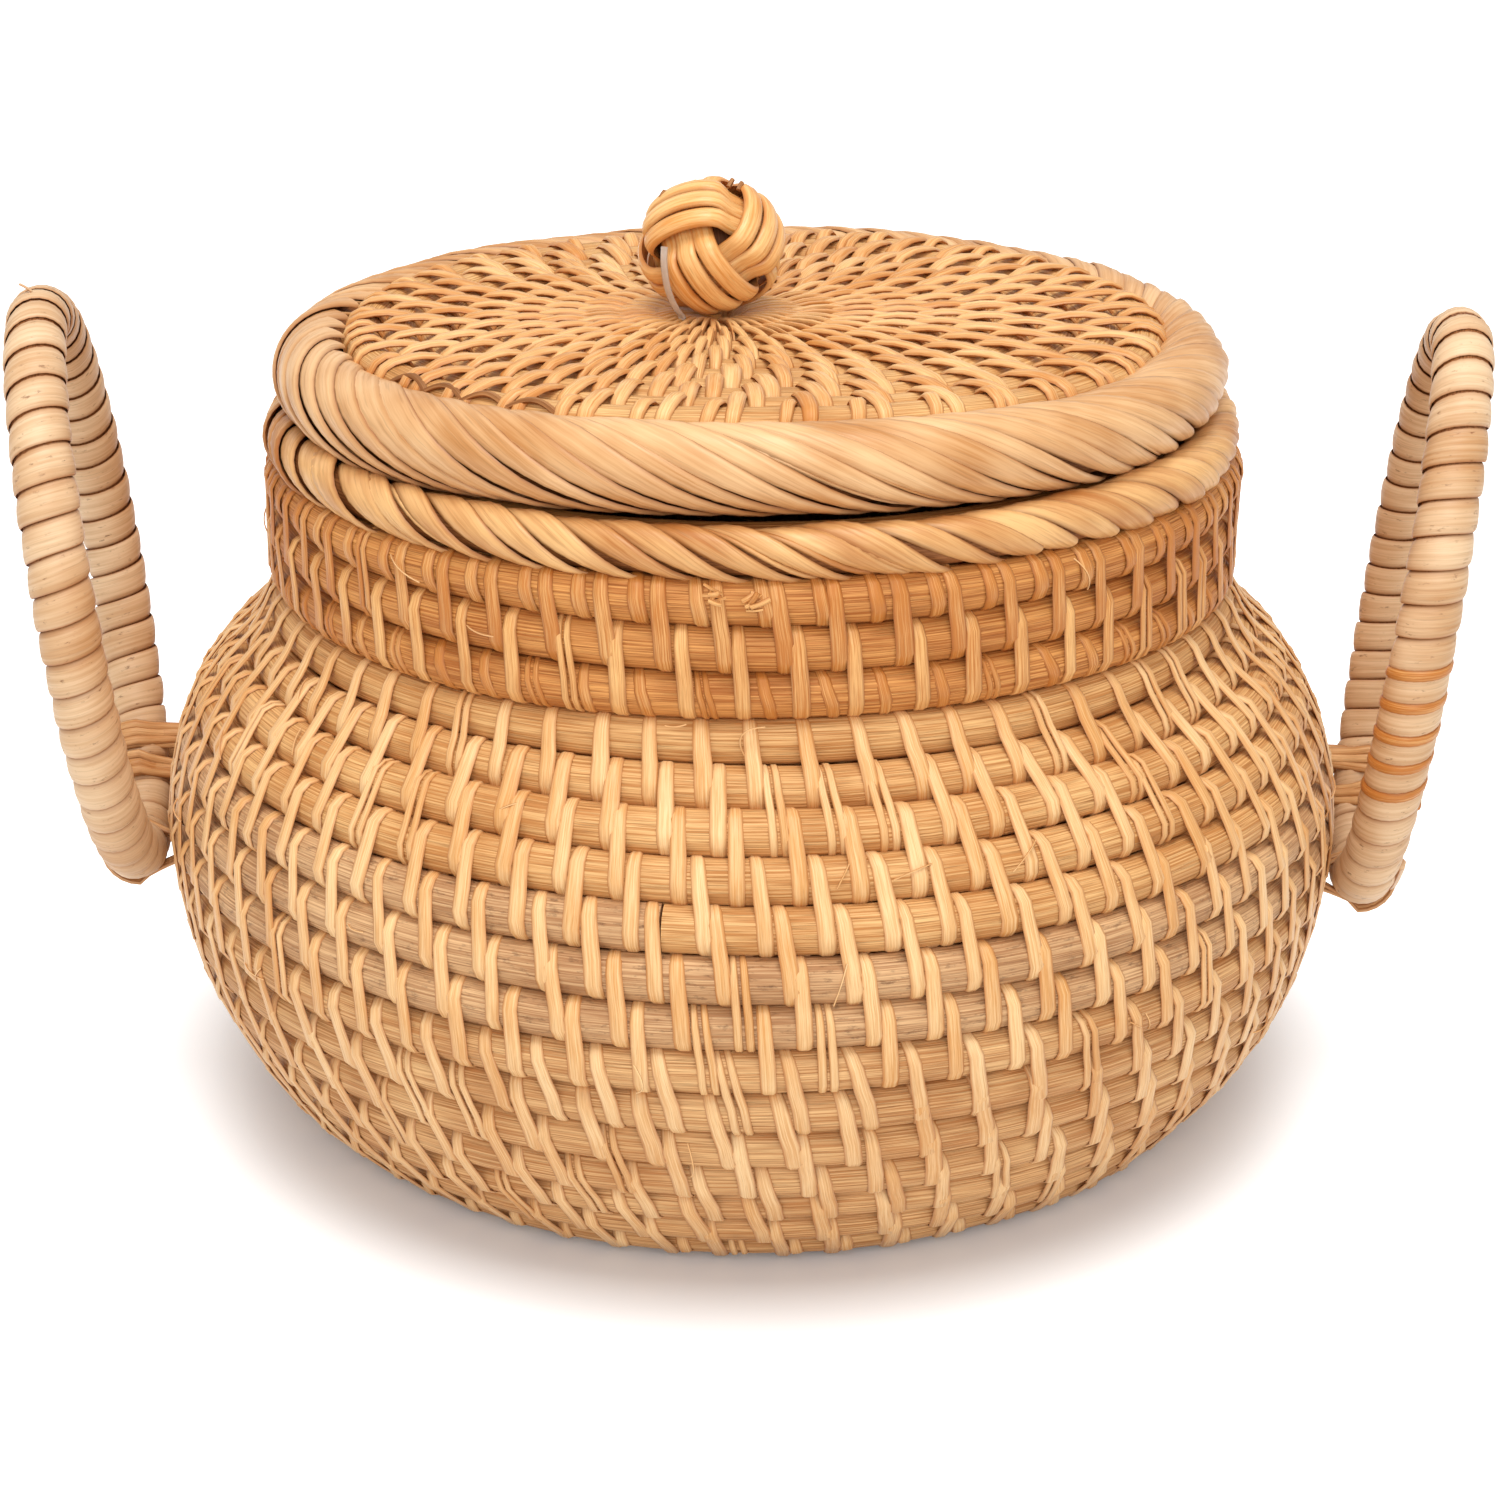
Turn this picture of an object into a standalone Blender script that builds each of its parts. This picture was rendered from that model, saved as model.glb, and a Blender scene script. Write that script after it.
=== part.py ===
"""A lidded basket of coiled rattan, modelled as the pieces its maker puts together.

Units are metres and degrees, +Z is up, and the basket stands on z = 0 around the Z axis.
The camera side, called the front, is -Y. The handles stand at -X (left) and +X (right).

The basket is a wrapped rod laid in rows, in five lengths that follow each other: a flat
spiral for the base, three for the belly, and the upright neck. A rod with a wound binding
closes the mouth, and two wound hoops are lashed to the belly. The lid is a smaller spiral
inside a thick wound rim, with a ring underneath that drops into the mouth and a plaited
knob on top. The lid lifts off.
"""
import math

import bmesh
import bpy
import numpy as np

# Wrapped rod of the wall
ROW_PITCH = 0.0072          # from one row's middle to the next, along the wall
ROW_THICKNESS = 0.0069      # through the wall
ROW_GAP = 0.0006            # left open between two rows of the wall
BASE_ROW_GAP = 0.0009       # left open between two rows of the base
ROW_POINTS = 20             # points on each turn of the rod

# Outline of the wall, measured to the middle of the rod
BASE_RADIUS = 0.0739        # where the base starts to turn up
BASE_HOLE_RADIUS = 0.0052   # the tightest turn that the rod can start with
BASE_BEND_RADIUS = 0.006
BASE_RISE = 44.0            # slope of the belly's first rows
BELLY_RADIUS = 0.0964
SHOULDER_START = 98.0       # slope where the shoulder begins, past upright
SHOULDER_SLOPE = 142.0      # flattest slope of the shoulder
CREASE_RADIUS = 0.012       # inside bend between shoulder and neck
NECK_RADIUS = 0.0775
NECK_FOOT = 0.0045          # from the bend's end to the neck's first row
NECK_ROWS = 3

# How the rod climbs from row to row
LEVELLING_TURNS = 10.0      # the spiral becomes level rows over this many turns
CLIMB_SHARE = 0.2           # share of a turn, at the back, in which a level row climbs
PARED_SHARE = 0.18          # share of the last climb after which the pared rod ends
MIDDLE_ROD_SHARE = 0.5      # share of the belly's turns below its second length of rod
UPPER_ROD_SHARE = 0.677     # and below its third, which starts near the front

# Rim of the mouth
RIM_ROD_RADIUS = 0.0031
RIM_BINDING = 0.0007        # thickness of the wound splints
RIM_INSET = 0.0013          # how far the rim rod lies inside the neck's row
RIM_OPENING = 50.0          # half angle left open under the binding, over the wall

# Handles, each a hoop on edge, leaning out from the belly
HANDLE_ROD_RADIUS = 0.0038
HANDLE_BINDING = 0.0009
HANDLE_WRAP_PITCH = 0.0053  # width of the peel wound round the hoop
HANDLE_WRAP_SEAM = 0.00035  # depth of the seams between its turns
HANDLE_BREAK = 0.003        # gap where the wound peel starts and ends
HANDLE_BREAK_AT = 165.0     # angle of that gap round the hoop, whose foot is at 180
LEFT_HANDLE_HALF_WIDTH = 0.0315
LEFT_HANDLE_HALF_HEIGHT = 0.046
LEFT_HANDLE_FOOT_HEIGHT = 0.043  # of the hoop's lowest point
LEFT_HANDLE_SWING = 5.2     # angle from the side towards the front
LEFT_HANDLE_LEAN = 6.4      # angle outwards
LEFT_HANDLE_TIES = (141.0, 152.0, 187.0)  # angles round the hoop, from its top
RIGHT_HANDLE_HALF_WIDTH = 0.0246
RIGHT_HANDLE_HALF_HEIGHT = 0.047
RIGHT_HANDLE_FOOT_HEIGHT = 0.0379
RIGHT_HANDLE_SWING = 5.8
RIGHT_HANDLE_LEAN = 6.3
RIGHT_HANDLE_TIES = (136.0, 148.0, 187.0)
TIE_WIDTH = 0.0034
TIE_THICKNESS = 0.001
TIE_NAMES = ("upper", "middle", "bottom")

# Lid
LID_ROD_RADIUS = 0.0055     # rod inside the lid's rim
LID_BINDING = 0.0009
LID_RIM_INSET = 0.0051      # how far the lid's rim lies inside the basket's
LID_OPENING_MIDDLE = 180.0  # direction left open in the binding, towards the disc and the mouth
LID_OPENING = 65.0          # and its half angle
LID_FRONT_BOW = 0.0015      # the hand-bent rim stands up this much at the front
LID_BOW_REACH = 60.0        # over this angle to each side
LID_ROW_PITCH = 0.00625     # about this, so that whole rows fill the disc
LID_ROW_THICKNESS = 0.0054
LID_ROW_GAP = 0.0006
LID_ROW_POINTS = 18
LID_HOLE_RADIUS = 0.005     # the first turn round the knob's lashing
LID_DISC_SEAT = 147.0       # direction from the rim's rod to the disc's last row, which lies on it
LID_MIDDLE_OFFSET = -0.0066  # the spiral's middle lies left of the axis
SEAT_RING_WIDTH = 0.0032
SEAT_RING_HEIGHT = 0.008
SEAT_RING_CLEARANCE = 0.0012  # round the ring, inside the mouth
SEAT_RING_CHAMFER = 0.0008

# Knob, three crossing bands of three splints each over a ball
KNOB_RADIUS = 0.0123
KNOB_FLATNESS = 0.925       # its height as a share of its width
KNOB_BAND_WIDTH = 0.0108
KNOB_BAND_THICKNESS = 0.002
KNOB_BAND_GAP = 0.0005      # between two bands where they cross
KNOB_WEAVE_STEEPNESS = 2.8  # how quickly a band rises from under one to over the next
KNOB_CORNER = (0.16, -0.91, 0.37)  # direction in which the three bands meet at a corner
KNOB_BANDS = {              # where each band lies round that corner, anticlockwise from its right
    "knob_arch_band": 78.0, "knob_front_band": 198.0, "knob_side_band": 318.0,
}
LASHING_RADIUS = 0.0016
LASHING_KNOT_RADIUS = 0.0034
LASHING_KNOT_HEIGHT = 0.0026
THREAD_RADIUS = 0.0005
THREAD_SIDE = (-0.57, -0.82, 0.0)  # side of the knob that the thread runs down
THREAD_ARC = (9.0, -52.0)   # stretch over the bands, in degrees above the knob's waist
THREAD_FLARE = 0.0004       # how much its foot stands off

# Fits
SEAT_GAP = 0.0003           # between pieces that touch
RING_POINTS = 32            # points on each turned ring
HANDLE_SIDES = 6            # flats round a handle

# Colours of the finishes: red, green, blue
PALE_SPLINT = (0.73, 0.46, 0.22)
TAN_ROD = (0.64, 0.36, 0.14)
DARK_ROD = (0.45, 0.23, 0.09)
HANDLE_PEEL = (0.62, 0.38, 0.19)
KNOB_SPLINT = (0.70, 0.38, 0.12)
CLEAR_THREAD = (0.80, 0.74, 0.66)

UP = np.array([0.0, 0.0, 1.0])


# Making meshes

def finish(colour, name, roughness=0.55):
    """A plain finish of one colour."""
    material = bpy.data.materials.new(name)
    material.use_nodes = True
    shader = material.node_tree.nodes["Principled BSDF"]
    shader.inputs["Base Color"].default_value = (*colour, 1.0)
    shader.inputs["Roughness"].default_value = roughness
    shader.inputs["Metallic"].default_value = 0.0
    return material


def add_piece(name, points, faces, colour, holder, home=(0.0, 0.0, 0.0)):
    """Makes one piece from points in the basket's frame, with its origin at home."""
    home = np.asarray(home, dtype=float)
    mesh = bpy.data.meshes.new(name)
    mesh.from_pydata((np.asarray(points) - home).tolist(), [], faces)
    work = bmesh.new()
    work.from_mesh(mesh)
    bmesh.ops.recalc_face_normals(work, faces=work.faces)
    work.to_mesh(mesh)
    work.free()
    mesh.shade_smooth()
    mesh.set_sharp_from_angle(angle=math.radians(50.0))
    mesh.materials.append(finish(colour, name))
    piece = bpy.data.objects.new(name, mesh)
    bpy.context.scene.collection.objects.link(piece)
    piece.parent = holder
    piece.location = home - np.array(holder.location)
    return piece


def add_holder(name, place):
    """An empty that carries the pieces of one body."""
    holder = bpy.data.objects.new(name, None)
    holder.location = place
    bpy.context.scene.collection.objects.link(holder)
    return holder


def loft(stations, closed):
    """Joins outlines of equal length into a skin, with ends where it is open."""
    count, size = stations.shape[:2]
    points = stations.reshape(-1, 3)
    faces = []
    for i in range(count if closed else count - 1):
        here, there = i * size, (i + 1) % count * size
        for j in range(size):
            k = (j + 1) % size
            faces.append((here + j, here + k, there + k, there + j))
    if not closed:
        faces.append(tuple(range(size)))
        faces.append(tuple(range((count - 1) * size, count * size)))
    return points, faces


def place_outlines(middles, across, out, outline):
    """Sets an outline of (across, out) pairs square to a path, at each of its points."""
    outline = np.asarray(outline, dtype=float)
    if outline.ndim == 2:
        outline = np.repeat(outline[None], len(middles), axis=0)
    return (middles[:, None]
            + outline[:, :, :1] * across[:, None]
            + outline[:, :, 1:] * out[:, None])


def polygon(radius, sides, turn=0.0):
    """A round outline."""
    angle = math.radians(turn) + np.arange(sides) * 2.0 * math.pi / sides
    return np.stack([radius * np.cos(angle), radius * np.sin(angle)], axis=1)


def open_shell(outer, inner, middle, half_opening, steps=7):
    """A C-shaped outline: a round wall left open by half_opening each side of middle."""
    angle = np.radians(np.linspace(middle + half_opening, middle + 360.0 - half_opening, steps))
    direction = np.stack([np.cos(angle), np.sin(angle)], axis=1)
    return np.concatenate([outer * direction, inner * direction[::-1]])


def unit(vectors):
    return vectors / np.linalg.norm(vectors, axis=-1, keepdims=True)


def ring_path(radius, height, points=RING_POINTS):
    """A level ring: its points, and the outward and upward directions there."""
    angle = np.arange(points) * 2.0 * math.pi / points
    out = np.stack([np.cos(angle), np.sin(angle), 0.0 * angle], axis=1)
    middles = radius * out + (np.zeros(points) + height)[:, None] * UP
    return middles, out, np.repeat(UP[None], points, axis=0)


# The wall's outline

def wall_stretches():
    """Lengths, start slopes and bend radii of the wall's middle line, from the axis outwards.

    The belly's and the shoulder's radii follow from the radii at base, belly and neck."""
    rise, over, slope = (math.radians(a) for a in (BASE_RISE, SHOULDER_START, SHOULDER_SLOPE))
    upright = math.pi / 2.0
    belly = (BELLY_RADIUS - BASE_RADIUS - BASE_BEND_RADIUS * math.sin(rise)) / (1.0 - math.sin(rise))
    inwards = BELLY_RADIUS - NECK_RADIUS - belly * (1.0 - math.sin(over))
    inwards -= CREASE_RADIUS * (1.0 - math.sin(slope))
    shoulder = inwards / (math.sin(over) - math.sin(slope))
    return [
        (BASE_RADIUS, 0.0, 0.0),
        (BASE_BEND_RADIUS * rise, 0.0, 1.0 / BASE_BEND_RADIUS),
        (belly * (over - rise), rise, 1.0 / belly),
        (shoulder * (slope - over), over, 1.0 / shoulder),
        (CREASE_RADIUS * (slope - upright), slope, -1.0 / CREASE_RADIUS),
        (NECK_FOOT + (NECK_ROWS - 1) * ROW_PITCH, upright, 0.0),
    ]


def wall_line(distance):
    """Radius, height and slope of the wall's middle line at a distance along it."""
    distance = np.asarray(distance, dtype=float)
    radius = np.zeros_like(distance)
    height = np.full_like(distance, ROW_THICKNESS / 2.0)
    slope = np.zeros_like(distance)
    start = 0.0
    stretches = wall_stretches()
    for length, first, bend in stretches:
        last = (length, first, bend) == stretches[-1]
        step = np.clip(distance - start, 0.0, None if last else length)
        turned = first + step * bend
        if bend:
            radius += (np.sin(turned) - math.sin(first)) / bend
            height += (math.cos(first) - np.cos(turned)) / bend
        else:
            radius += step * math.cos(first)
            height += step * math.sin(first)
        slope = np.where(distance > start, turned, slope)
        start += length
    return radius, height, slope


WALL_LENGTH = sum(stretch[0] for stretch in wall_stretches())
TOP_ROW = int((WALL_LENGTH - BASE_HOLE_RADIUS) / ROW_PITCH)
FIRST_NECK_ROW = TOP_ROW - NECK_ROWS + 1
FIRST_BELLY_ROW = TOP_ROW - int((WALL_LENGTH - BASE_RADIUS) / ROW_PITCH)
BELLY_ROWS = FIRST_NECK_ROW - FIRST_BELLY_ROW
ROUNDING = (1.0 + 1.0 / math.cos(math.pi / ROW_POINTS)) / 2.0  # evens out the flats of a turn


def rows_reached(turns):
    """The row that the rod has reached after some turns.

    Rows count from 0 in the middle. The first turns open evenly, and later ones lie level
    and climb to the next row at the back, half way through each turn."""
    whole = np.floor(turns)
    part = turns - whole
    climb = np.clip((part - 0.5) / CLIMB_SHARE + 0.5, 0.0, 1.0)
    climb = climb * climb * (3.0 - 2.0 * climb)
    level = np.clip(turns / LEVELLING_TURNS, 0.0, 1.0)
    return whole + (1.0 - level) * part + level * climb


def rows_under_edge(turns, last_row, gap_share):
    """Rows and half heights, in rows, for a rod whose last turn is cut to a level edge.

    Once it would climb past the last row, the rod thins out between the row below it and
    the edge, as a rod's end is pared down."""
    rows = rows_reached(turns)
    half = np.full_like(rows, (1.0 - gap_share) / 2.0)
    below = rows_reached(turns - 1.0)
    past = rows > last_row
    half = np.where(past, (last_row - below - gap_share) / 2.0, half)
    rows = np.where(past, last_row + (1.0 - gap_share) / 2.0 - half, rows)
    return rows, half


def turns_between(first, last, points):
    """Even steps through a coil, a whole number of them to each turn, with both ends."""
    inside = np.arange(math.ceil(first * points + 0.2), math.floor(last * points - 0.2) + 1) / points
    return np.concatenate([[first], inside, [last]])


def row_outline(half_width, half_thickness):
    """Six-sided outline of a wrapped rod: flat outside, ridged towards its neighbours."""
    shares = [(1.0, 0.0), (0.5, 1.0), (-0.5, 1.0), (-1.0, 0.0), (-0.5, -1.0), (0.5, -1.0)]
    return np.stack([np.stack([x * half_width, y * half_thickness + 0.0 * half_width], axis=-1)
                     for x, y in shares], axis=1)


def coil_directions(turns, slope):
    """Directions along the wall and out of it for each point of a coil."""
    angle = 2.0 * math.pi * turns - math.pi / 2.0
    out = np.stack([np.cos(angle), np.sin(angle), 0.0 * angle], axis=1)
    along = np.cos(slope)[:, None] * out + np.sin(slope)[:, None] * UP
    away = np.sin(slope)[:, None] * out - np.cos(slope)[:, None] * UP
    return out, along, away


def report_gap(name, stations, points):
    """Prints the least gap between a coil's turns, measured between their outline points."""
    least = math.inf
    for shift in (points - 1, points, points + 1):
        lower, upper = stations[:-shift], stations[shift:]
        apart = np.linalg.norm(lower[:, :, None] - upper[:, None], axis=-1)
        least = min(least, apart.min(initial=math.inf))
    print(f"{name}: least gap between turns {least * 1000.0:.2f} mm")


def add_wall_coil(name, first, last, row_gap, colour, holder):
    """One length of the wall's rod, from one turn count to another."""
    turns = turns_between(first, last, ROW_POINTS)
    rows, half = rows_under_edge(turns, TOP_ROW, row_gap / ROW_PITCH)
    radius, height, slope = wall_line(WALL_LENGTH - (TOP_ROW - rows) * ROW_PITCH)
    out, along, away = coil_directions(turns, slope)
    middles = (radius * ROUNDING)[:, None] * out + height[:, None] * UP
    outline = row_outline(half * ROW_PITCH, ROW_THICKNESS / 2.0)
    stations = place_outlines(middles, along, away, outline)
    stations[:, :, 2] = np.maximum(stations[:, :, 2], 0.0)
    report_gap(name, stations, ROW_POINTS)
    points, faces = loft(stations, closed=False)
    return add_piece(name, points, faces, colour, holder)


def wall_reach(height, angle, clearance=0.0):
    """Radius of the wall, grown by a clearance all round, at a height and an angle in radians."""
    distance = np.linspace(BASE_RADIUS, WALL_LENGTH, 400)
    radius, level, slope = wall_line(distance)
    radius = radius * ROUNDING + (ROW_THICKNESS / 2.0 + clearance) * np.sin(slope)
    level = level - (ROW_THICKNESS / 2.0 + clearance) * np.cos(slope)
    step = 2.0 * math.pi / ROW_POINTS
    off_middle = (np.asarray(angle) + math.pi / 2.0) % step - step / 2.0
    flat = math.cos(step / 2.0) / np.cos(off_middle)
    return np.interp(height, level, radius) * flat


# The basket

def add_wall(holder):
    """The wall's rod in its five lengths, from the base to the neck, butted end to end."""
    belly = FIRST_BELLY_ROW - 0.5
    starts = {"base_coil": 0.0, "lower_belly_coil": belly,
              "middle_belly_coil": belly + MIDDLE_ROD_SHARE * BELLY_ROWS,
              "upper_belly_coil": belly + UPPER_ROD_SHARE * BELLY_ROWS,
              "neck_coil": belly + BELLY_ROWS}
    ends = list(starts.values())[1:] + [TOP_ROW + 0.5 + PARED_SHARE * CLIMB_SHARE]
    for (name, start), end in zip(starts.items(), ends):
        row_gap = BASE_ROW_GAP if name == "base_coil" else ROW_GAP
        first = start + half_butt(start) if start else start
        last = end - half_butt(end) if name != "neck_coil" else end
        add_wall_coil(name, first, last, row_gap, TAN_ROD, holder)


def half_butt(turn):
    """Half of the gap where two lengths of the wall's rod meet, in turns."""
    radius, _, _ = wall_line(WALL_LENGTH - (TOP_ROW - rows_reached(turn)) * ROW_PITCH)
    return SEAT_GAP / 2.0 / (2.0 * math.pi * float(radius))


def wall_top():
    """Height of the neck's top edge."""
    _, height, _ = wall_line(WALL_LENGTH)
    return float(height) + (ROW_PITCH - ROW_GAP) / 2.0


RIM_RADIUS = NECK_RADIUS - RIM_INSET
RIM_OUTER = RIM_ROD_RADIUS + SEAT_GAP + RIM_BINDING
RIM_HEIGHT = wall_top() + SEAT_GAP + RIM_ROD_RADIUS


def add_rim(holder):
    """The rod on top of the wall, and its binding, open underneath where the wall is."""
    middles, out, up = ring_path(RIM_RADIUS, RIM_HEIGHT)
    points, faces = loft(place_outlines(middles, out, up, polygon(RIM_ROD_RADIUS, 8, 22.5)), True)
    add_piece("rim_rod", points, faces, TAN_ROD, holder)
    outline = open_shell(RIM_OUTER, RIM_ROD_RADIUS + SEAT_GAP, 270.0, RIM_OPENING)
    points, faces = loft(place_outlines(middles, out, up, outline), True)
    add_piece("rim_binding", points, faces, PALE_SPLINT, holder)


# Handles

class Hoop:
    """A handle's hoop: an ellipse on edge that just touches the belly with its binding."""

    def __init__(self, side, half_width, half_height, foot_height, swing, lean):
        swing, lean = math.radians(swing), math.radians(lean)
        self.width, self.height = half_width, half_height
        self.away = np.array([side * math.cos(swing), -math.sin(swing), 0.0])
        self.level = np.array([side * math.sin(swing), math.cos(swing), 0.0])
        self.rising = math.sin(lean) * self.away + math.cos(lean) * UP
        self.normal = math.cos(lean) * self.away - math.sin(lean) * UP
        middle_height = foot_height + self.height * math.cos(lean)
        around = np.radians(np.arange(0.0, 360.0, 2.0))
        heights = middle_height + self.height * np.cos(around) * math.cos(lean)
        sideways = self.width * np.sin(around)
        outer = HANDLE_ROD_RADIUS + SEAT_GAP + HANDLE_BINDING
        places = BELLY_RADIUS * self.away + sideways[:, None] * self.level
        angle = np.arctan2(places[:, 1], places[:, 0])
        needed = wall_reach(heights, angle, outer + SEAT_GAP)
        outwards = np.sqrt(np.maximum(needed ** 2 - sideways ** 2, 0.0))
        outwards -= self.height * np.cos(around) * math.sin(lean)
        low = heights < middle_height
        self.middle = outwards[low].max() * self.away + middle_height * UP

    def points(self, degrees):
        """Points of the hoop, with directions out of the loop; 180 degrees is its foot."""
        around = np.radians(degrees)[:, None]
        middles = (self.middle + self.width * np.sin(around) * self.level
                   + self.height * np.cos(around) * self.rising)
        out = unit(np.sin(around) / self.width * self.level
                   + np.cos(around) / self.height * self.rising)
        return middles, out, np.repeat(self.normal[None], len(middles), axis=0)

    def even_degrees(self, first, last, spacing, parts):
        """Angles a near-even distance apart, parts to each spacing, and the spacing count."""
        degrees = np.linspace(first, last, 721)
        middles, _, _ = self.points(degrees)
        run = np.concatenate([[0.0], np.cumsum(np.linalg.norm(np.diff(middles, axis=0), axis=1))])
        count = max(8, round(run[-1] / spacing))
        return np.interp(np.linspace(0.0, run[-1], count * parts + 1), run, degrees), count


def add_binding(name, hoop, degrees, colour, holder):
    """The wound peel: a ribbed sleeve round the hoop, with a break where its ends meet.

    Every second one of degrees is a seam, and the others lie on the peel's crest."""
    inner_radius = HANDLE_ROD_RADIUS + SEAT_GAP
    outer_radius = inner_radius + HANDLE_BINDING
    middles, out, normal = hoop.points(degrees)
    crest = np.arange(len(degrees)) % 2
    radii = outer_radius - HANDLE_WRAP_SEAM * (1 - crest)
    outer = place_outlines(middles, out, normal, radii[:, None, None] * polygon(1.0, HANDLE_SIDES)[None])
    middles, out, normal = middles[::2], out[::2], normal[::2]
    inner = place_outlines(middles, out, normal, polygon(inner_radius, HANDLE_SIDES))
    points = np.concatenate([outer.reshape(-1, 3), inner.reshape(-1, 3)])
    _, outer_faces = loft(outer, closed=False)
    _, inner_faces = loft(inner, closed=False)
    base = outer.shape[0] * HANDLE_SIDES
    faces = outer_faces[:-2] + [tuple(base + i for i in face) for face in inner_faces[:-2]]
    for outer_start, inner_start in ((0, base), (base - HANDLE_SIDES, len(points) - HANDLE_SIDES)):
        for j in range(HANDLE_SIDES):
            k = (j + 1) % HANDLE_SIDES
            faces.append((outer_start + j, outer_start + k, inner_start + k, inner_start + j))
    return add_piece(name, points, faces, colour, holder, hoop.middle)


def add_tie(name, hoop, degrees, colour, holder):
    """A flat splint drawn over the hoop, whose two ends go back to the belly's wall."""
    middles, _, _ = hoop.points(np.array([degrees - 0.5, degrees, degrees + 0.5]))
    middle = middles[1]
    run = unit(middles[2] - middles[0])
    back = -hoop.away
    sideways = unit(np.cross(run, back))
    back = unit(np.cross(sideways, run))
    bow = HANDLE_ROD_RADIUS + HANDLE_BINDING + 2.0 * SEAT_GAP + TIE_THICKNESS / 2.0
    corners = np.array([x * TIE_WIDTH / 2.0 * run + y * TIE_THICKNESS / 2.0 * sideways
                        for x in (-1.0, 0.0, 1.0) for y in (-1.0, 1.0)])
    ends = []
    for sign in (1.0, -1.0):
        lengths = np.linspace(0.0, 3.0 * bow, 600)
        track = middle + sign * bow * sideways + lengths[:, None] * back
        spots = track[:, None] + corners
        angle = np.arctan2(spots[..., 1], spots[..., 0])
        reach = wall_reach(spots[..., 2], angle, SEAT_GAP)
        free = (np.hypot(spots[..., 0], spots[..., 1]) > reach).all(axis=1)
        ends.append(lengths[free].max())
    around = np.radians(np.linspace(0.0, 180.0, 9))
    bend = middle + bow * (np.cos(around)[:, None] * sideways - np.sin(around)[:, None] * back)
    path = np.concatenate([[bend[0] + ends[0] * back], bend, [bend[-1] + ends[1] * back]])
    out = np.concatenate([[sideways], unit(bend - middle), [-sideways]])
    across = np.repeat(run[None], len(path), axis=0)
    half_width, half_thickness = TIE_WIDTH / 2.0, TIE_THICKNESS / 2.0
    outline = [(half_width, -half_thickness), (half_width, half_thickness),
               (-half_width, half_thickness), (-half_width, -half_thickness)]
    points, faces = loft(place_outlines(path, across, out, outline), closed=False)
    return add_piece(name, points, faces, colour, holder, middle)


def add_handle(word, hoop, ties, holder):
    """Hoop, binding and the three ties of one handle."""
    half_break = math.degrees(HANDLE_BREAK / 2.0 / hoop.width)
    ends = HANDLE_BREAK_AT + half_break, HANDLE_BREAK_AT + 360.0 - half_break
    degrees, count = hoop.even_degrees(*ends, HANDLE_WRAP_PITCH, 2)
    middles, out, normal = hoop.points(degrees[::2])
    outline = polygon(HANDLE_ROD_RADIUS, HANDLE_SIDES)
    points, faces = loft(place_outlines(middles, out, normal, outline), closed=True)
    add_piece(f"{word}_handle_hoop", points, faces, TAN_ROD, holder, hoop.middle)
    add_binding(f"{word}_handle_binding", hoop, degrees, HANDLE_PEEL, holder)
    for place, tie_at in zip(TIE_NAMES, ties):
        add_tie(f"{word}_{place}_tie", hoop, tie_at, PALE_SPLINT, holder)
    print(f"{word} handle: {count} turns of peel, middle at "
          + ", ".join(f"{1000.0 * value:.1f}" for value in hoop.middle) + " mm")


# The lid

LID_OUTER = LID_ROD_RADIUS + SEAT_GAP + LID_BINDING
LID_RIM_RADIUS = RIM_RADIUS - LID_RIM_INSET
LID_RIM_HEIGHT = RIM_HEIGHT + math.sqrt(
    (RIM_OUTER + LID_OUTER + SEAT_GAP) ** 2 - (RIM_RADIUS - LID_RIM_RADIUS) ** 2)
SEAT_RING_OUTER = RIM_RADIUS - RIM_OUTER - SEAT_RING_CLEARANCE
LID_DISC_REACH = LID_ROD_RADIUS + 2.0 * SEAT_GAP + LID_ROW_THICKNESS / 2.0
LID_DISC_RADIUS = LID_RIM_RADIUS + LID_DISC_REACH * math.cos(math.radians(LID_DISC_SEAT))
LID_DISC_HEIGHT = LID_RIM_HEIGHT + LID_DISC_REACH * math.sin(math.radians(LID_DISC_SEAT))


def lid_bow(angle):
    """How much the lid's rim stands up at an angle: half a cosine wave round the front."""
    from_front = np.abs((np.degrees(angle) - 270.0 + 180.0) % 360.0 - 180.0)
    share = np.clip(from_front / LID_BOW_REACH, 0.0, 1.0)
    return LID_FRONT_BOW * 0.5 * (1.0 + np.cos(math.pi * share))


def lid_rim_path():
    """The lid's rim, a ring that bows up a little at the front."""
    angle = np.arange(RING_POINTS) * 2.0 * math.pi / RING_POINTS
    return ring_path(LID_RIM_RADIUS, LID_RIM_HEIGHT + lid_bow(angle))


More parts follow.
